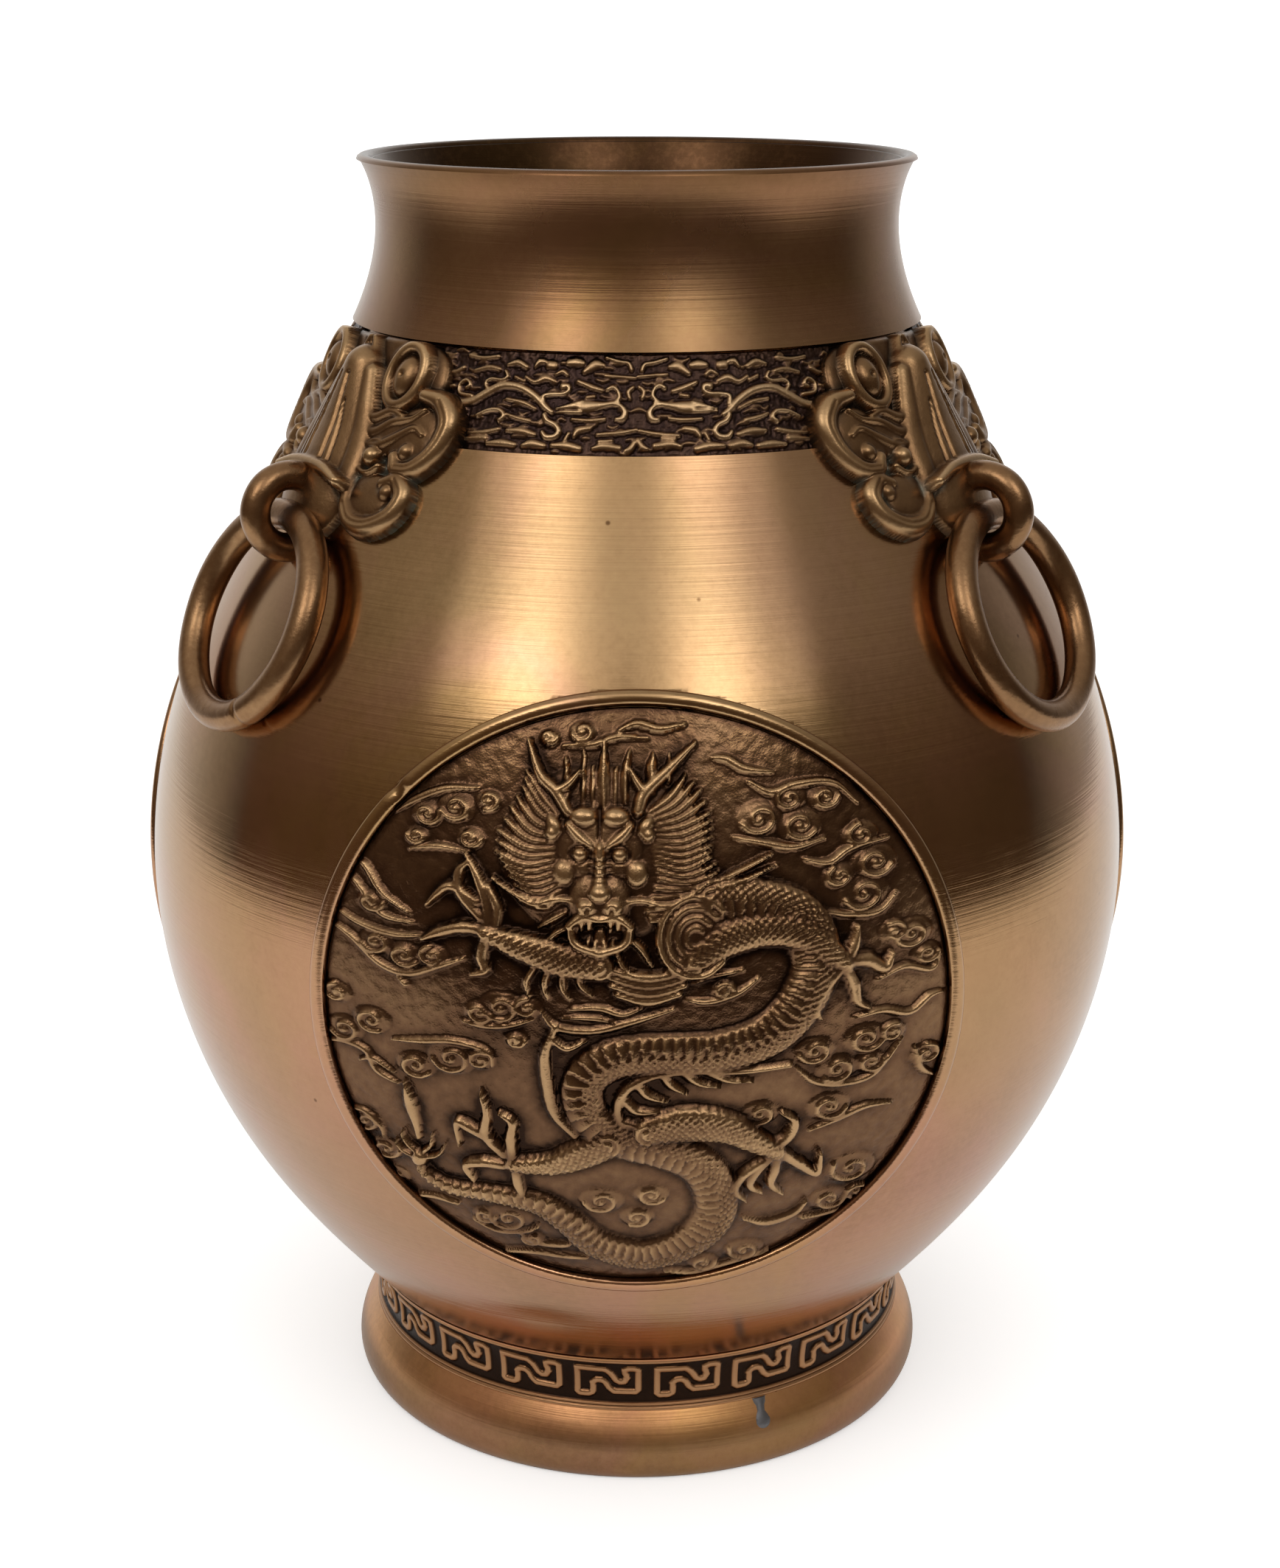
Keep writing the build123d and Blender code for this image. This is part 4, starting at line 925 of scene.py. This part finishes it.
# Frieze panels: half of the pattern, as arc length from the middle of the span, height and half width
frieze = {
    "columns": 340, "rows": 74, "ground": -1.6, "back": -2.9, "inset": 0.1, "gap": 17.0, "arcRadius": 93.5,
    "relief": 1.25, "swell": 1.3, "specks": 190, "nudge": 0.35, "stipple": 0.28,
    "dragon": [
        [(8.1, 342.2, 0.55), (6.6, 342.9, 0.5), (5.2, 342, 0.5), (4.6, 340.2, 0.55), (6, 338.6, 0.65)],
        [(5.6, 334.6, 0.5), (3.9, 334.8, 0.8), (3.2, 336.4, 0.8), (4.4, 338, 0.6), (6, 338.4, 0.65)],
        [(5, 338.6, 0.65), (9, 338, 0.8), (12.5, 337.6, 1.35), (15.4, 337.5, 1.5)],
        [(15.5, 338.5, 0.55), (19, 337.6, 0.45), (22.4, 336.7, 0.2)],
        [(15.5, 337.4, 0.55), (19, 337, 0.45), (22.4, 336.5, 0.2)],
        [(15.5, 336.3, 0.55), (19, 336.3, 0.45), (22.4, 336.2, 0.2)], [(24, 335.6, 0.6), (26, 336.8, 0.85),
         (29, 339.2, 0.95), (33, 341.2, 0.95), (37, 342, 0.95), (41, 341.6, 1), (45, 339.5, 1.05),
         (49, 337.2, 1.05), (53, 336.6, 0.95), (57, 337.8, 0.8), (62, 337, 0.5)], [(26.5, 338, 0.75),
         (26.8, 340, 0.65), (24.5, 340.7, 0.55), (21, 340.9, 0.55), (19.4, 341.8, 0.55), (19.8, 343, 0.65),
         (21.3, 342.8, 0.95)], [(25.6, 335, 0.65), (24.6, 333.6, 0.65), (22.2, 332.6, 0.65),
         (21, 331, 0.75), (22, 329.6, 0.75), (24.5, 329.4, 0.75), (25.6, 330.6, 0.5)], [(43.5, 340.5, 0.6),
         (45.3, 342.2, 0.55), (44, 343.6, 0.5), (40, 343.6, 0.5), (38.5, 344.6, 0.5), (39.6, 346, 0.4)],
        [(49, 339, 0.5), (53.4, 339.4, 0.55), (54, 341.8, 0.55), (52, 343, 0.5), (50.4, 341.8, 0.5),
         (51.6, 340.9, 0.5)],
        [(46.5, 333.6, 0.4), (43, 335.2, 0.55), (39.6, 335.4, 0.6), (38, 334, 0.6), (39.2, 332.8, 0.6)],
    ],
    "clouds": [
        [(1.5, 347, 0.6), (2.3, 348.6, 0.5), (5, 349, 0.5), (9, 350, 0.4)],
        [(0.4, 345.3, 0.4), (5, 345.6, 0.45), (9, 345.8, 0.4)],
        [(10, 348, 0.6), (12.5, 348.2, 1.2), (15.5, 346.3, 0.7)],
        [(16.4, 348.5, 0.8), (18.5, 348.8, 1.1), (20.8, 348.5, 0.8)], [(24.4, 348, 1.1), (26, 348.1, 1.1)],
        [(27.5, 348.9, 0.6), (29.5, 349, 0.8), (30.6, 347.6, 0.4)],
        [(15.5, 326.9, 0.8), (19, 327.6, 1), (23, 327.5, 0.6)],
        [(25, 327.2, 0.8), (28.5, 327.7, 1), (31, 327, 0.5)],
        [(33, 326.9, 0.7), (37, 327.2, 0.9), (41, 326.8, 0.5)],
        [(42, 328, 0.9), (45, 327.8, 0.7), (49, 327.3, 0.4)],
        [(5, 327.4, 0.8), (9, 327.9, 0.9), (12, 327.2, 0.4)],
        [(0.6, 329, 0.6), (1.6, 327.4, 0.8), (3, 326.8, 0.5)],
        [(0.5, 331.8, 0.5), (5, 331, 0.6), (11, 330.5, 0.5)],
        [(13, 331.8, 0.7), (16, 331.2, 0.9), (17, 329.6, 0.5)],
        [(28, 330, 0.7), (32, 330.8, 0.9), (36, 330.6, 0.5)],
        [(30, 333.6, 0.6), (34, 334.2, 0.6), (37, 335, 0.4)],
        [(39, 331, 0.6), (43, 330, 0.7), (48, 329.5, 0.4)],
        [(52, 331, 0.6), (56, 329.4, 0.7), (60, 330, 0.4)],
        [(24, 344.2, 0.6), (27, 345, 0.9), (30, 343.8, 0.6), (33, 345, 0.5)],
        [(33, 347.5, 0.7), (36, 348.6, 0.8), (39, 347.8, 0.5)],
        [(42, 346, 0.6), (45.5, 346.3, 0.7), (50, 345.2, 0.5)],
        [(43, 349.3, 0.6), (48, 348.6, 0.6), (53, 349, 0.5)],
        [(54, 345.8, 0.6), (57, 344.4, 0.7), (61, 345, 0.4)],
        [(29, 336.6, 0.5), (33, 338, 0.65), (38, 338.6, 0.5)],
        [(10, 341.6, 0.6), (13, 342.4, 0.75), (17, 343.8, 0.5)],
        [(9, 334.4, 0.5), (13, 334, 0.6), (18, 334.2, 0.4)], [(12.5, 340.3, 0.6), (14.5, 340, 0.6)],
        [(20.5, 345.8, 0.5), (22, 346.8, 0.6), (24, 345.8, 0.4)], [(33, 343.6, 0.5), (36, 344.6, 0.5)],
        [(0.8, 342.6, 0.5), (2.2, 341.4, 0.6), (1.6, 339.6, 0.4)],
        [(56, 341, 0.5), (59, 340.4, 0.6), (62, 341.5, 0.4)], [(6.6, 329.2, 0.5), (10, 329, 0.5)],
        [(18.5, 330.8, 0.5), (19.4, 329, 0.6)], [(54, 333.8, 0.5), (58, 333, 0.6), (62, 334, 0.4)],
    ],
}
rng = np.random.default_rng(7)
turns = form["handleTurns"]
spans = {"front": (turns["left"], turns["right"]), "right": (turns["right"], turns["back"]),
         "left": (turns["back"] - 360, turns["left"])}
columns, rows = frieze["columns"], frieze["rows"]
low, high = shoulderHeight + frieze["inset"], neckHeight - frieze["inset"]
for name, (start, end) in spans.items():
    mesh, gx, gy, back = gridSheet(columns, rows, 2)
    middle, reach = (start + end) / 2, (end - start) / 2 - frieze["gap"]
    turn = middle + gx * reach
    up = spanned(gy, low, high)
    art = Relief(np.radians(turn - middle) * frieze["arcRadius"], up, 0.0)
    for side in (-1, 1):
        for group, size in (("clouds", 0.8), ("dragon", 1.0)):
            for line in frieze[group]:
                nudge = rng.uniform(-frieze["nudge"], frieze["nudge"], 2)
                stroke = [(side * (a + nudge[0]), b + nudge[1], w * frieze["swell"]) for a, b, w in line]
                art.ridge(stroke, frieze["relief"] * size)
    for k in range(frieze["specks"]):
        a, b = rng.uniform(art.x.min(), art.x.max()), rng.uniform(low + 1, high - 1)
        length, bend = rng.uniform(0.9, 2.4), rng.uniform(-0.8, 0.8)
        art.ridge([(a - length, b, 0.35), (a, b + bend, 0.7), (a + length, b, 0.35)], 0.55 * frieze["relief"])
    stipple = rng.uniform(0, 1, (rows // 2 + 2, columns // 2 + 2))
    dots = stipple[((gy + 1) / 4 * rows).astype(int), ((gx + 1) / 4 * columns).astype(int)]
    ground = frieze["stipple"] * dots * (art.h < 0.05)
    keen = sharpness(gx, gy, art.h, columns, rows, 5)
    # Tone rises on raised strokes, sharp edges and stipple dots, rubbed wear with painted highlight; the sunk
    # ground stays dark, patina with painted shade
    polishAndShade = np.clip(0.12 + 0.48 * art.h + 0.4 * keen + 0.5 * ground, 0, 1)
    rise = np.where(back > 0, frieze["back"], frieze["ground"] + art.h + ground)
    up = np.where(back > 1, (low + high) / 2, up)
    setCorners(mesh, onBody(np.zeros(len(up)), up, rise, turn) * mm)
    values(mesh, "polishAndShade", np.where(back > 0, 0, polishAndShade))
    outward(mesh, sealed=True)
    panel = linked("frieze_panel_" + name + "_relief", mesh, 180)
    dress(panel, "vessel", "frieze_bronze", friezeFinish, "frieze_panel_" + name)
print("stage: frieze ready")

# Beast mask: one half, as distance from the middle, height and half width, drawn on both sides
mask = {
    "columns": 212, "rows": 132, "halfWidth": 44.0, "low": 297.0, "high": 350.8, "sunk": -2.6,
    "eye": (20.5, 340.8), "curl": (20, 318.6), "beads": [(31.2, 321.2, 3.0, 4.2), (30.8, 310.4, 2.8, 3.8)],
    "plate": [
        [(0, 349, 13), (0, 330, 16), (0, 312, 15)], [(12, 342, 9), (22, 341, 9.6), (25, 340, 8)],
        [(18, 328, 9), (29, 326, 11.5), (31, 325, 10.5)], [(14, 313, 8), (24, 309, 9), (29, 308.5, 8)],
        [(14, 334, 8), (28, 332, 6)], [(16, 318, 9), (30, 317, 7)],
    ],
    "nose": [(0, 341, 7), (0, 331, 11.5), (0, 320, 15.5), (0, 309, 17)],
    "bars": [(6, 340, 3), (9.3, 329.5, 4.2), (12.4, 319.5, 5), (13.4, 311, 4.8)],
    "pads": [(24, 308.2, 8.5, 6.5), (30.5, 325, 8, 8.5), (21, 325, 9, 6)],
    "cheek": [
        (30, 336.4, 2.4), (36, 335, 3.2), (40, 329.5, 3.4), (39.4, 322.5, 3.3), (35.6, 317.4, 3.1),
        (30.5, 316.6, 2.8), (28.2, 319.4, 2.4),
    ],
    "jaw": [
        (16.5, 311, 2.4), (18, 305.5, 2.8), (23, 301.8, 3.1), (29.5, 301.4, 3.3), (35, 304.6, 3.3),
        (36.2, 309.8, 3.1), (32.6, 313.6, 2.8), (28.6, 312.4, 2.4),
    ],
    "lines": [
        [(9.5, 329.5, 0.9), (15, 328.8, 1.4), (20.5, 331, 1.2), (25.5, 330.2, 0.6)],
        [(11.5, 325.6, 0.9), (17, 325, 1.5), (23, 328.4, 1.3), (29, 329.8, 0.8), (32.4, 332.6, 0.5)],
        [(14, 321.8, 0.8), (20, 321.6, 1.3), (26, 324.6, 1.3), (31, 327.4, 1), (34.4, 326, 0.6)],
    ],
    "leaf": [
        [(0.5, 350.6, 1.2), (4.6, 343, 1.7), (9.4, 334.6, 1)],
        [(0, 349.5, 0.9), (0, 341, 1), (0, 333.5, 0.6)],
    ],
    "creases": [([(1.6, 338, 0.7), (3.4, 325, 0.9), (4.4, 312, 0.9)], 0.9),
                ([(4.2, 331, 0.4), (6.4, 322, 0.7), (7.6, 313, 0.7)], 0.7)],
    "lip": [(-16, 309.5, 1.6), (-8, 312, 1.9), (0, 312.6, 2), (8, 312, 1.9), (16, 309.5, 1.6)],
}
mesh, gx, gy, back = gridSheet(mask["columns"], mask["rows"], 0)
across, up = gx * mask["halfWidth"], spanned(gy, mask["low"], mask["high"])
art = Relief(across, up, mask["sunk"])
allRound = np.linspace(0, 360, 25)
for side in (-1, 1):
    for pad in mask["plate"]:
        art.ridge(flipped(pad, side), 4.6, mask["sunk"], 0.16)
    art.ridge(flipped(mask["bars"], side), 2.8, 3.9, 0.7)
    for a, b, wide, tall in mask["pads"]:
        art.mound(side * a, b, wide, tall, 2.2, 2.3, 0.3)
    for line in mask["lines"]:
        art.ridge(widened(flipped(line, side), 1.4), 2.2, 3.0, 0.6)
    for line in mask["leaf"]:
        art.ridge(flipped(line, side), 3.2, 1.7, 0.6)
    for name, size in (("cheek", 6.0), ("jaw", 5.8)):
        scroll = flipped(mask[name], side)
        art.ridge(scroll, size, mask["sunk"] + 2.4, 0.4)
        art.groove([(a, b, 0.6) for a, b, w in scroll[1:-1]], 0.35)
    for a, b, wide, tall in mask["beads"]:
        art.mound(side * a, b, wide, wide, tall, 1.6)
    cx, cy = mask["curl"]
    art.ridge(flipped(arc(cx, cy, 4.7, 4.4, 1.1, np.arange(60, 331, 30)), side), 2.6, 2.6, 0.6)
    art.mound(side * cx, cy, 2.9, 2.9, 3.6, 3.2)
    cx, cy = side * mask["eye"][0], mask["eye"][1]
    art.mound(cx, cy, 7.8, 9.8, 2.2, 1.8, 0.25)
    art.ridge(arc(cx, cy, 6.1, 8, 1.9, allRound), 2.2, 3.4, 0.6)
    art.groove(arc(cx, cy, 4.3, 5.9, 0.8, allRound), 1.0)
    art.mound(cx, cy, 4.3, 5.8, 3.0, 3.2, 0.6)
    art.pit(cx, cy, 0.9, 1.0, 0.7)
art.ridge(mask["nose"], 7.4, 1.8, 0.6)
for side in (-1, 1):
    for line, depth in mask["creases"]:
        art.groove(flipped(line, side), depth)
art.ridge(mask["lip"], 3.0, 7.6, 0.6)
edge = np.clip(mask["high"] - up, 0, 1)
height = np.where(art.h > 0, art.h * (0.4 + 0.6 * edge), art.h)
keen = sharpness(gx, gy, np.maximum(art.h, 0), mask["columns"], mask["rows"], 5)
patches = np.sin(across * 0.55 + 2 * np.sin(up * 0.31)) * np.sin(up * 0.6 + 2 * np.sin(across * 0.23))
stain = np.clip(0.3 - 0.45 * keen - 0.13 * art.h + 0.4 * patches, 0, 0.6)
values(mesh, "rise", height)
# Tone rises with height and on sharp crests, rubbed wear with painted highlight, and falls in hollows as
# patina with painted shade
values(mesh, "polishAndShade", np.clip(0.46 + 0.015 * (art.h - 2) + 0.26 * keen, 0, 1))
values(mesh, "stain", stain * np.clip((322 - up) / 22 + 0.35, 0.1, 1))
# The sheet is cut along the mask's outline and gets a plain back that follows the body
bm = bmesh.new()
bm.from_mesh(mesh)
layer = bm.verts.layers.float["rise"]
bare = [f for f in bm.faces if all(v[layer] < mask["sunk"] + 0.05 for v in f.verts)]
bmesh.ops.delete(bm, geom=bare, context="FACES")
layer = bm.verts.layers.float.new("front")
for vert in vertsOf(bmesh.ops.extrude_face_region(bm, geom=bm.faces[:], use_keep_orig=True)["geom"]):
    vert[layer] = 1
bm.to_mesh(mesh)
bm.free()
co = corners(mesh)
across, up = co[:, 0] * mask["halfWidth"], spanned(co[:, 1], mask["low"], mask["high"])
height = np.where(taken(mesh, "front") > 0.5, taken(mesh, "rise"), mask["sunk"] - 0.3)
for name, turn in turns.items():
    copy = mesh.copy()
    setCorners(copy, onBody(across, up, height, turn) * mm)
    outward(copy)
    beast = linked("mask_" + name + "_beast", copy, 180)
    dress(beast, "vessel", "mask_bronze", maskFinish, "mask_" + name)
print("stage: masks ready")

# Fixed loop and loose ring of each handle
handle = {
    "loopReach": 121.345, "loopHeight": 303.205, "loopRadius": 10.5, "loopBar": 8.6, "loopSteps": 96,
    "rootHeight": 299.0, "sink": 1.0, "ringReach": 134.434, "ringHeight": 274.446, "ringRadius": 30.6,
    "ringBar": 9.2, "ringLean": 25.324, "ringSteps": 360, "seamTurn": 302.0, "segments": 28, "polishAndShade": 0.5,
}


def hoop(radius, bar, steps, seam=None):
    # A slightly uneven ring bar, with a shallow seam on demand
    bm = bmesh.new()
    bmesh.ops.create_circle(bm, radius=bar / 2 * mm, segments=handle["segments"])
    bmesh.ops.rotate(bm, verts=bm.verts[:], cent=(0, 0, 0), matrix=Matrix.Rotation(math.pi / 2, 3, "X"))
    bmesh.ops.translate(bm, verts=bm.verts[:], vec=(radius * mm, 0, 0))
    bmesh.ops.spin(bm, geom=bm.verts[:] + bm.edges[:], axis=(0, 0, 1), cent=(0, 0, 0), steps=steps,
                   angle=2 * math.pi, use_merge=True)
    for v in bm.verts:
        angle = math.atan2(v.co.y, v.co.x)
        spine = Vector((math.cos(angle), math.sin(angle), 0)) * radius * mm
        swell = 1 + 0.012 * math.sin(3 * angle + 1) + 0.008 * math.sin(7 * angle)
        if seam is not None:
            off = (math.degrees(angle) - seam + 180) % 360 - 180
            swell -= 0.11 * math.exp(-((math.radians(off) * radius / 0.7) ** 2))
        v.co = spine + (v.co - spine) * swell
    return bm


def hung(bm, turn, reach, height, degrees, axis):
    # A hoop tipped about an axis and set at its place round the vase
    place = Matrix.Rotation(math.radians(turn), 4, "Z") @ Matrix.Translation(Vector((0, -reach, height)) * mm)
    tip = Matrix.Rotation(math.radians(degrees), 4, axis)
    bmesh.ops.transform(bm, matrix=place @ tip, verts=bm.verts[:])


def onMiddle(up, rise, turn):
    return Vector(onBody(np.zeros(1), np.array([up]), np.array([rise]), turn)[0] * mm)


for name, turn in turns.items():
    bm = hoop(handle["loopRadius"], handle["loopBar"], handle["loopSteps"])
    hung(bm, turn, handle["loopReach"], handle["loopHeight"], 90, "Y")
    foothold = onMiddle(handle["rootHeight"], -handle["sink"], turn)
    aim = onMiddle(handle["rootHeight"], 9.0, turn) - foothold
    bmesh.ops.bisect_plane(bm, geom=bm.verts[:] + bm.edges[:] + bm.faces[:], plane_co=foothold, plane_no=aim,
                           clear_inner=True)
    bmesh.ops.contextual_create(bm, geom=[e for e in bm.edges if e.is_boundary])
    loop = finished("loop_" + name + "_bar", bm, 60)
    values(loop.data, "polishAndShade", handle["polishAndShade"])
    dress(loop, "vessel", "ring_bronze", ringFinish, "loop_" + name)
    seam = handle["seamTurn"] if name == "left" else None
    bm = hoop(handle["ringRadius"], handle["ringBar"], handle["ringSteps"], seam)
    hung(bm, turn, handle["ringReach"], handle["ringHeight"], 90 - handle["ringLean"], "X")
    ring = finished("ring_" + name + "_bar", bm, 60)
    values(ring.data, "polishAndShade", handle["polishAndShade"])
    dress(ring, name + "_ring", "ring_bronze", ringFinish, "ring_" + name)

# Solder drip below the fret band
drip = {"turn": 25.3, "low": 12.4, "high": 21.3, "halfWidth": 3.4, "columns": 24, "rows": 60, "radius": 90,
        "ground": -0.3, "back": -0.7, "polishAndShade": 0.5,
        "line": [(0.3, 21.8, 3), (0.2, 20, 1.8), (0, 17.8, 1.4), (-0.1, 16, 2.1), (0, 15.2, 2.6)]}
mesh, gx, gy, back = gridSheet(drip["columns"], drip["rows"], 2)
across, up = gx * drip["halfWidth"], spanned(gy, drip["low"], drip["high"])
art = Relief(across, up, drip["ground"])
art.ridge(drip["line"], 1.0, drip["ground"], 0.6)
up = np.where(back > 1, (drip["low"] + drip["high"]) / 2, up)
reach = radiusAt(roll, up) + np.where(back > 0, drip["back"], art.h)
turn = np.radians(drip["turn"]) + across / drip["radius"]
setCorners(mesh, np.stack([reach * np.sin(turn), -reach * np.cos(turn), up], 1) * mm)
values(mesh, "polishAndShade", drip["polishAndShade"])
outward(mesh, sealed=True)
solder = linked("solderDrip", mesh, 180)
dress(solder, "vessel", "foot_bronze", solderFinish)
print("stage: handles ready")

# Floor, backdrop, lights and camera. Lamps are name, place, size, power and brightest share of the width.
stage = {
    "floorColour": (0.92, 0.92, 0.91), "glow": 0.32, "floorHalf": 1.15, "floorFront": -0.5,
    "floorDrop": 0.0003, "backWall": 2.3, "wallHeight": 2.4, "cove": 0.5, "sky": 1.0,
    "lamps": [("keyLeft", (-0.512, -0.908, 1.22), (1.3, 0.8), 12.8, 0.48),
              ("keyRight", (0.44, -0.95, 1.22), (1.25, 0.8), 11.4, 0.45)],
    "target": (0, -0.1, 0.28), "keyFade": [(0.0, 0), (0.14, 1), (1.0, 0.14)],
    "room": [(0.0, (0.11, 0.075, 0.05)), (0.5, (0.12, 0.08, 0.05)), (0.6, (0.16, 0.115, 0.08)),
             (0.69, (0.26, 0.21, 0.16)), (0.78, (0.42, 0.38, 0.33)), (0.88, (0.60, 0.57, 0.53))],
    "behind": [(0.58, 0), (0.675, (0.26, 0.25, 0.24)), (0.75, (0.46, 0.45, 0.44)), (0.82, (0.66, 0.65, 0.64)),
               (1.0, 0.9)],
    "side": [(0.3, 1), (0.55, 0.93), (0.85, 0.64)],
    "lens": 58.70, "sensor": 36, "shift": (0.0019, 0.0065), "eye": (0, -0.7960, 0.4479), "lookDown": 17.553,
}
floorFinish = bpy.data.materials.new("paleFloor")
floorFinish.use_nodes = True
tree = floorFinish.node_tree
add = nodeAdder(tree)
seen = add("LightPath").outputs["Is Camera Ray"]
glow = add("Math", (0, seen), (1, stage["glow"]), operation="MULTIPLY").outputs["Value"]
plug(tree, tree.nodes["Principled BSDF"], ("Base Color", (*stage["floorColour"], 1)), ("Roughness", 0.9),
     ("Specular IOR Level", 0.0), ("Emission Color", (1, 1, 1, 1)), ("Emission Strength", glow))
bm = bmesh.new()
bmesh.ops.create_grid(bm, x_segments=1, y_segments=1, size=1.0)
depth = (stage["backWall"] - stage["floorFront"]) / 2
bmesh.ops.scale(bm, vec=(stage["floorHalf"], depth, 1), verts=bm.verts[:])
bmesh.ops.translate(bm, vec=(0, stage["floorFront"] + depth, -stage["floorDrop"]), verts=bm.verts[:])
back = [e for e in bm.edges if all(v.co.y > 1 for v in e.verts)]
raised = vertsOf(bmesh.ops.extrude_edge_only(bm, edges=back)["geom"])
bmesh.ops.translate(bm, vec=(0, 0, stage["wallHeight"]), verts=raised)
rounded(bm, back, stage["cove"], 16)
floor = linked("floor", meshFrom(bm, "floor"), 180)
floor.data.materials.append(floorFinish)


def lamp(name, place, size, power, peak):
    # An area lamp that fades towards its edges, so that its mirror image is soft
    data = bpy.data.lights.new(name, "AREA")
    data.shape = "RECTANGLE"
    data.size, data.size_y = size
    data.energy = power
    data.use_nodes = True
    tree = data.node_tree
    add = nodeAdder(tree)
    spot = add("SeparateXYZ", ("Vector", add("NewGeometry").outputs["Parametric"])).outputs
    window = [(0.0, 0), (peak - 0.3, 0.25), (peak, 1), (peak + 0.3, 0.25), (1.0, 0)]
    across = ramp(add, window, spot["X"], "EASE")
    up = ramp(add, stage["keyFade"], spot["Y"], "EASE")
    fade = add("Math", (0, across), (1, up), operation="MULTIPLY")
    plug(tree, tree.nodes["Emission"], ("Strength", fade.outputs["Value"]))
    light = bpy.data.objects.new(name, data)
    light.location = place
    light.rotation_euler = (Vector(stage["target"]) - Vector(place)).to_track_quat("-Z", "Y").to_euler()
    bpy.context.collection.objects.link(light)


for row in stage["lamps"]:
    lamp(*row)

# The sky lights the floor. The metal mirrors a dim room, brighter upwards and behind, dimmer on the right.
world = bpy.data.worlds.new("studio")
bpy.context.scene.world = world
world.use_nodes = True
tree = world.node_tree
add = nodeAdder(tree)
way = add("SeparateXYZ", ("Vector", add("TexCoord").outputs["Generated"])).outputs
room = {}
for name, axis in (("room", "Z"), ("behind", "Y"), ("side", "X")):
    share = add("MapRange", ("From Min", -1.0), ("Value", way[axis])).outputs["Result"]
    room[name] = ramp(add, stage[name], share)
mirrored = mixed(add, room["room"], room["behind"], blend="LIGHTEN")
mirrored = mixed(add, mirrored, room["side"], blend="MULTIPLY")
glossy = add("LightPath").outputs["Is Glossy Ray"]
sky = mixed(add, (stage["sky"], stage["sky"], stage["sky"], 1), mirrored, glossy)
plug(tree, tree.nodes["Background"], ("Color", sky))

cameraData = bpy.data.cameras.new("camera")
cameraData.lens, cameraData.sensor_width = stage["lens"], stage["sensor"]
cameraData.shift_x, cameraData.shift_y = stage["shift"]
camera = bpy.data.objects.new("camera", cameraData)
camera.location = stage["eye"]
camera.rotation_euler = (math.radians(90 - stage["lookDown"]), 0, 0)
bpy.context.collection.objects.link(camera)
bpy.context.scene.camera = camera
bpy.context.scene.view_settings.view_transform = "Standard"

print("stage: scene ready")
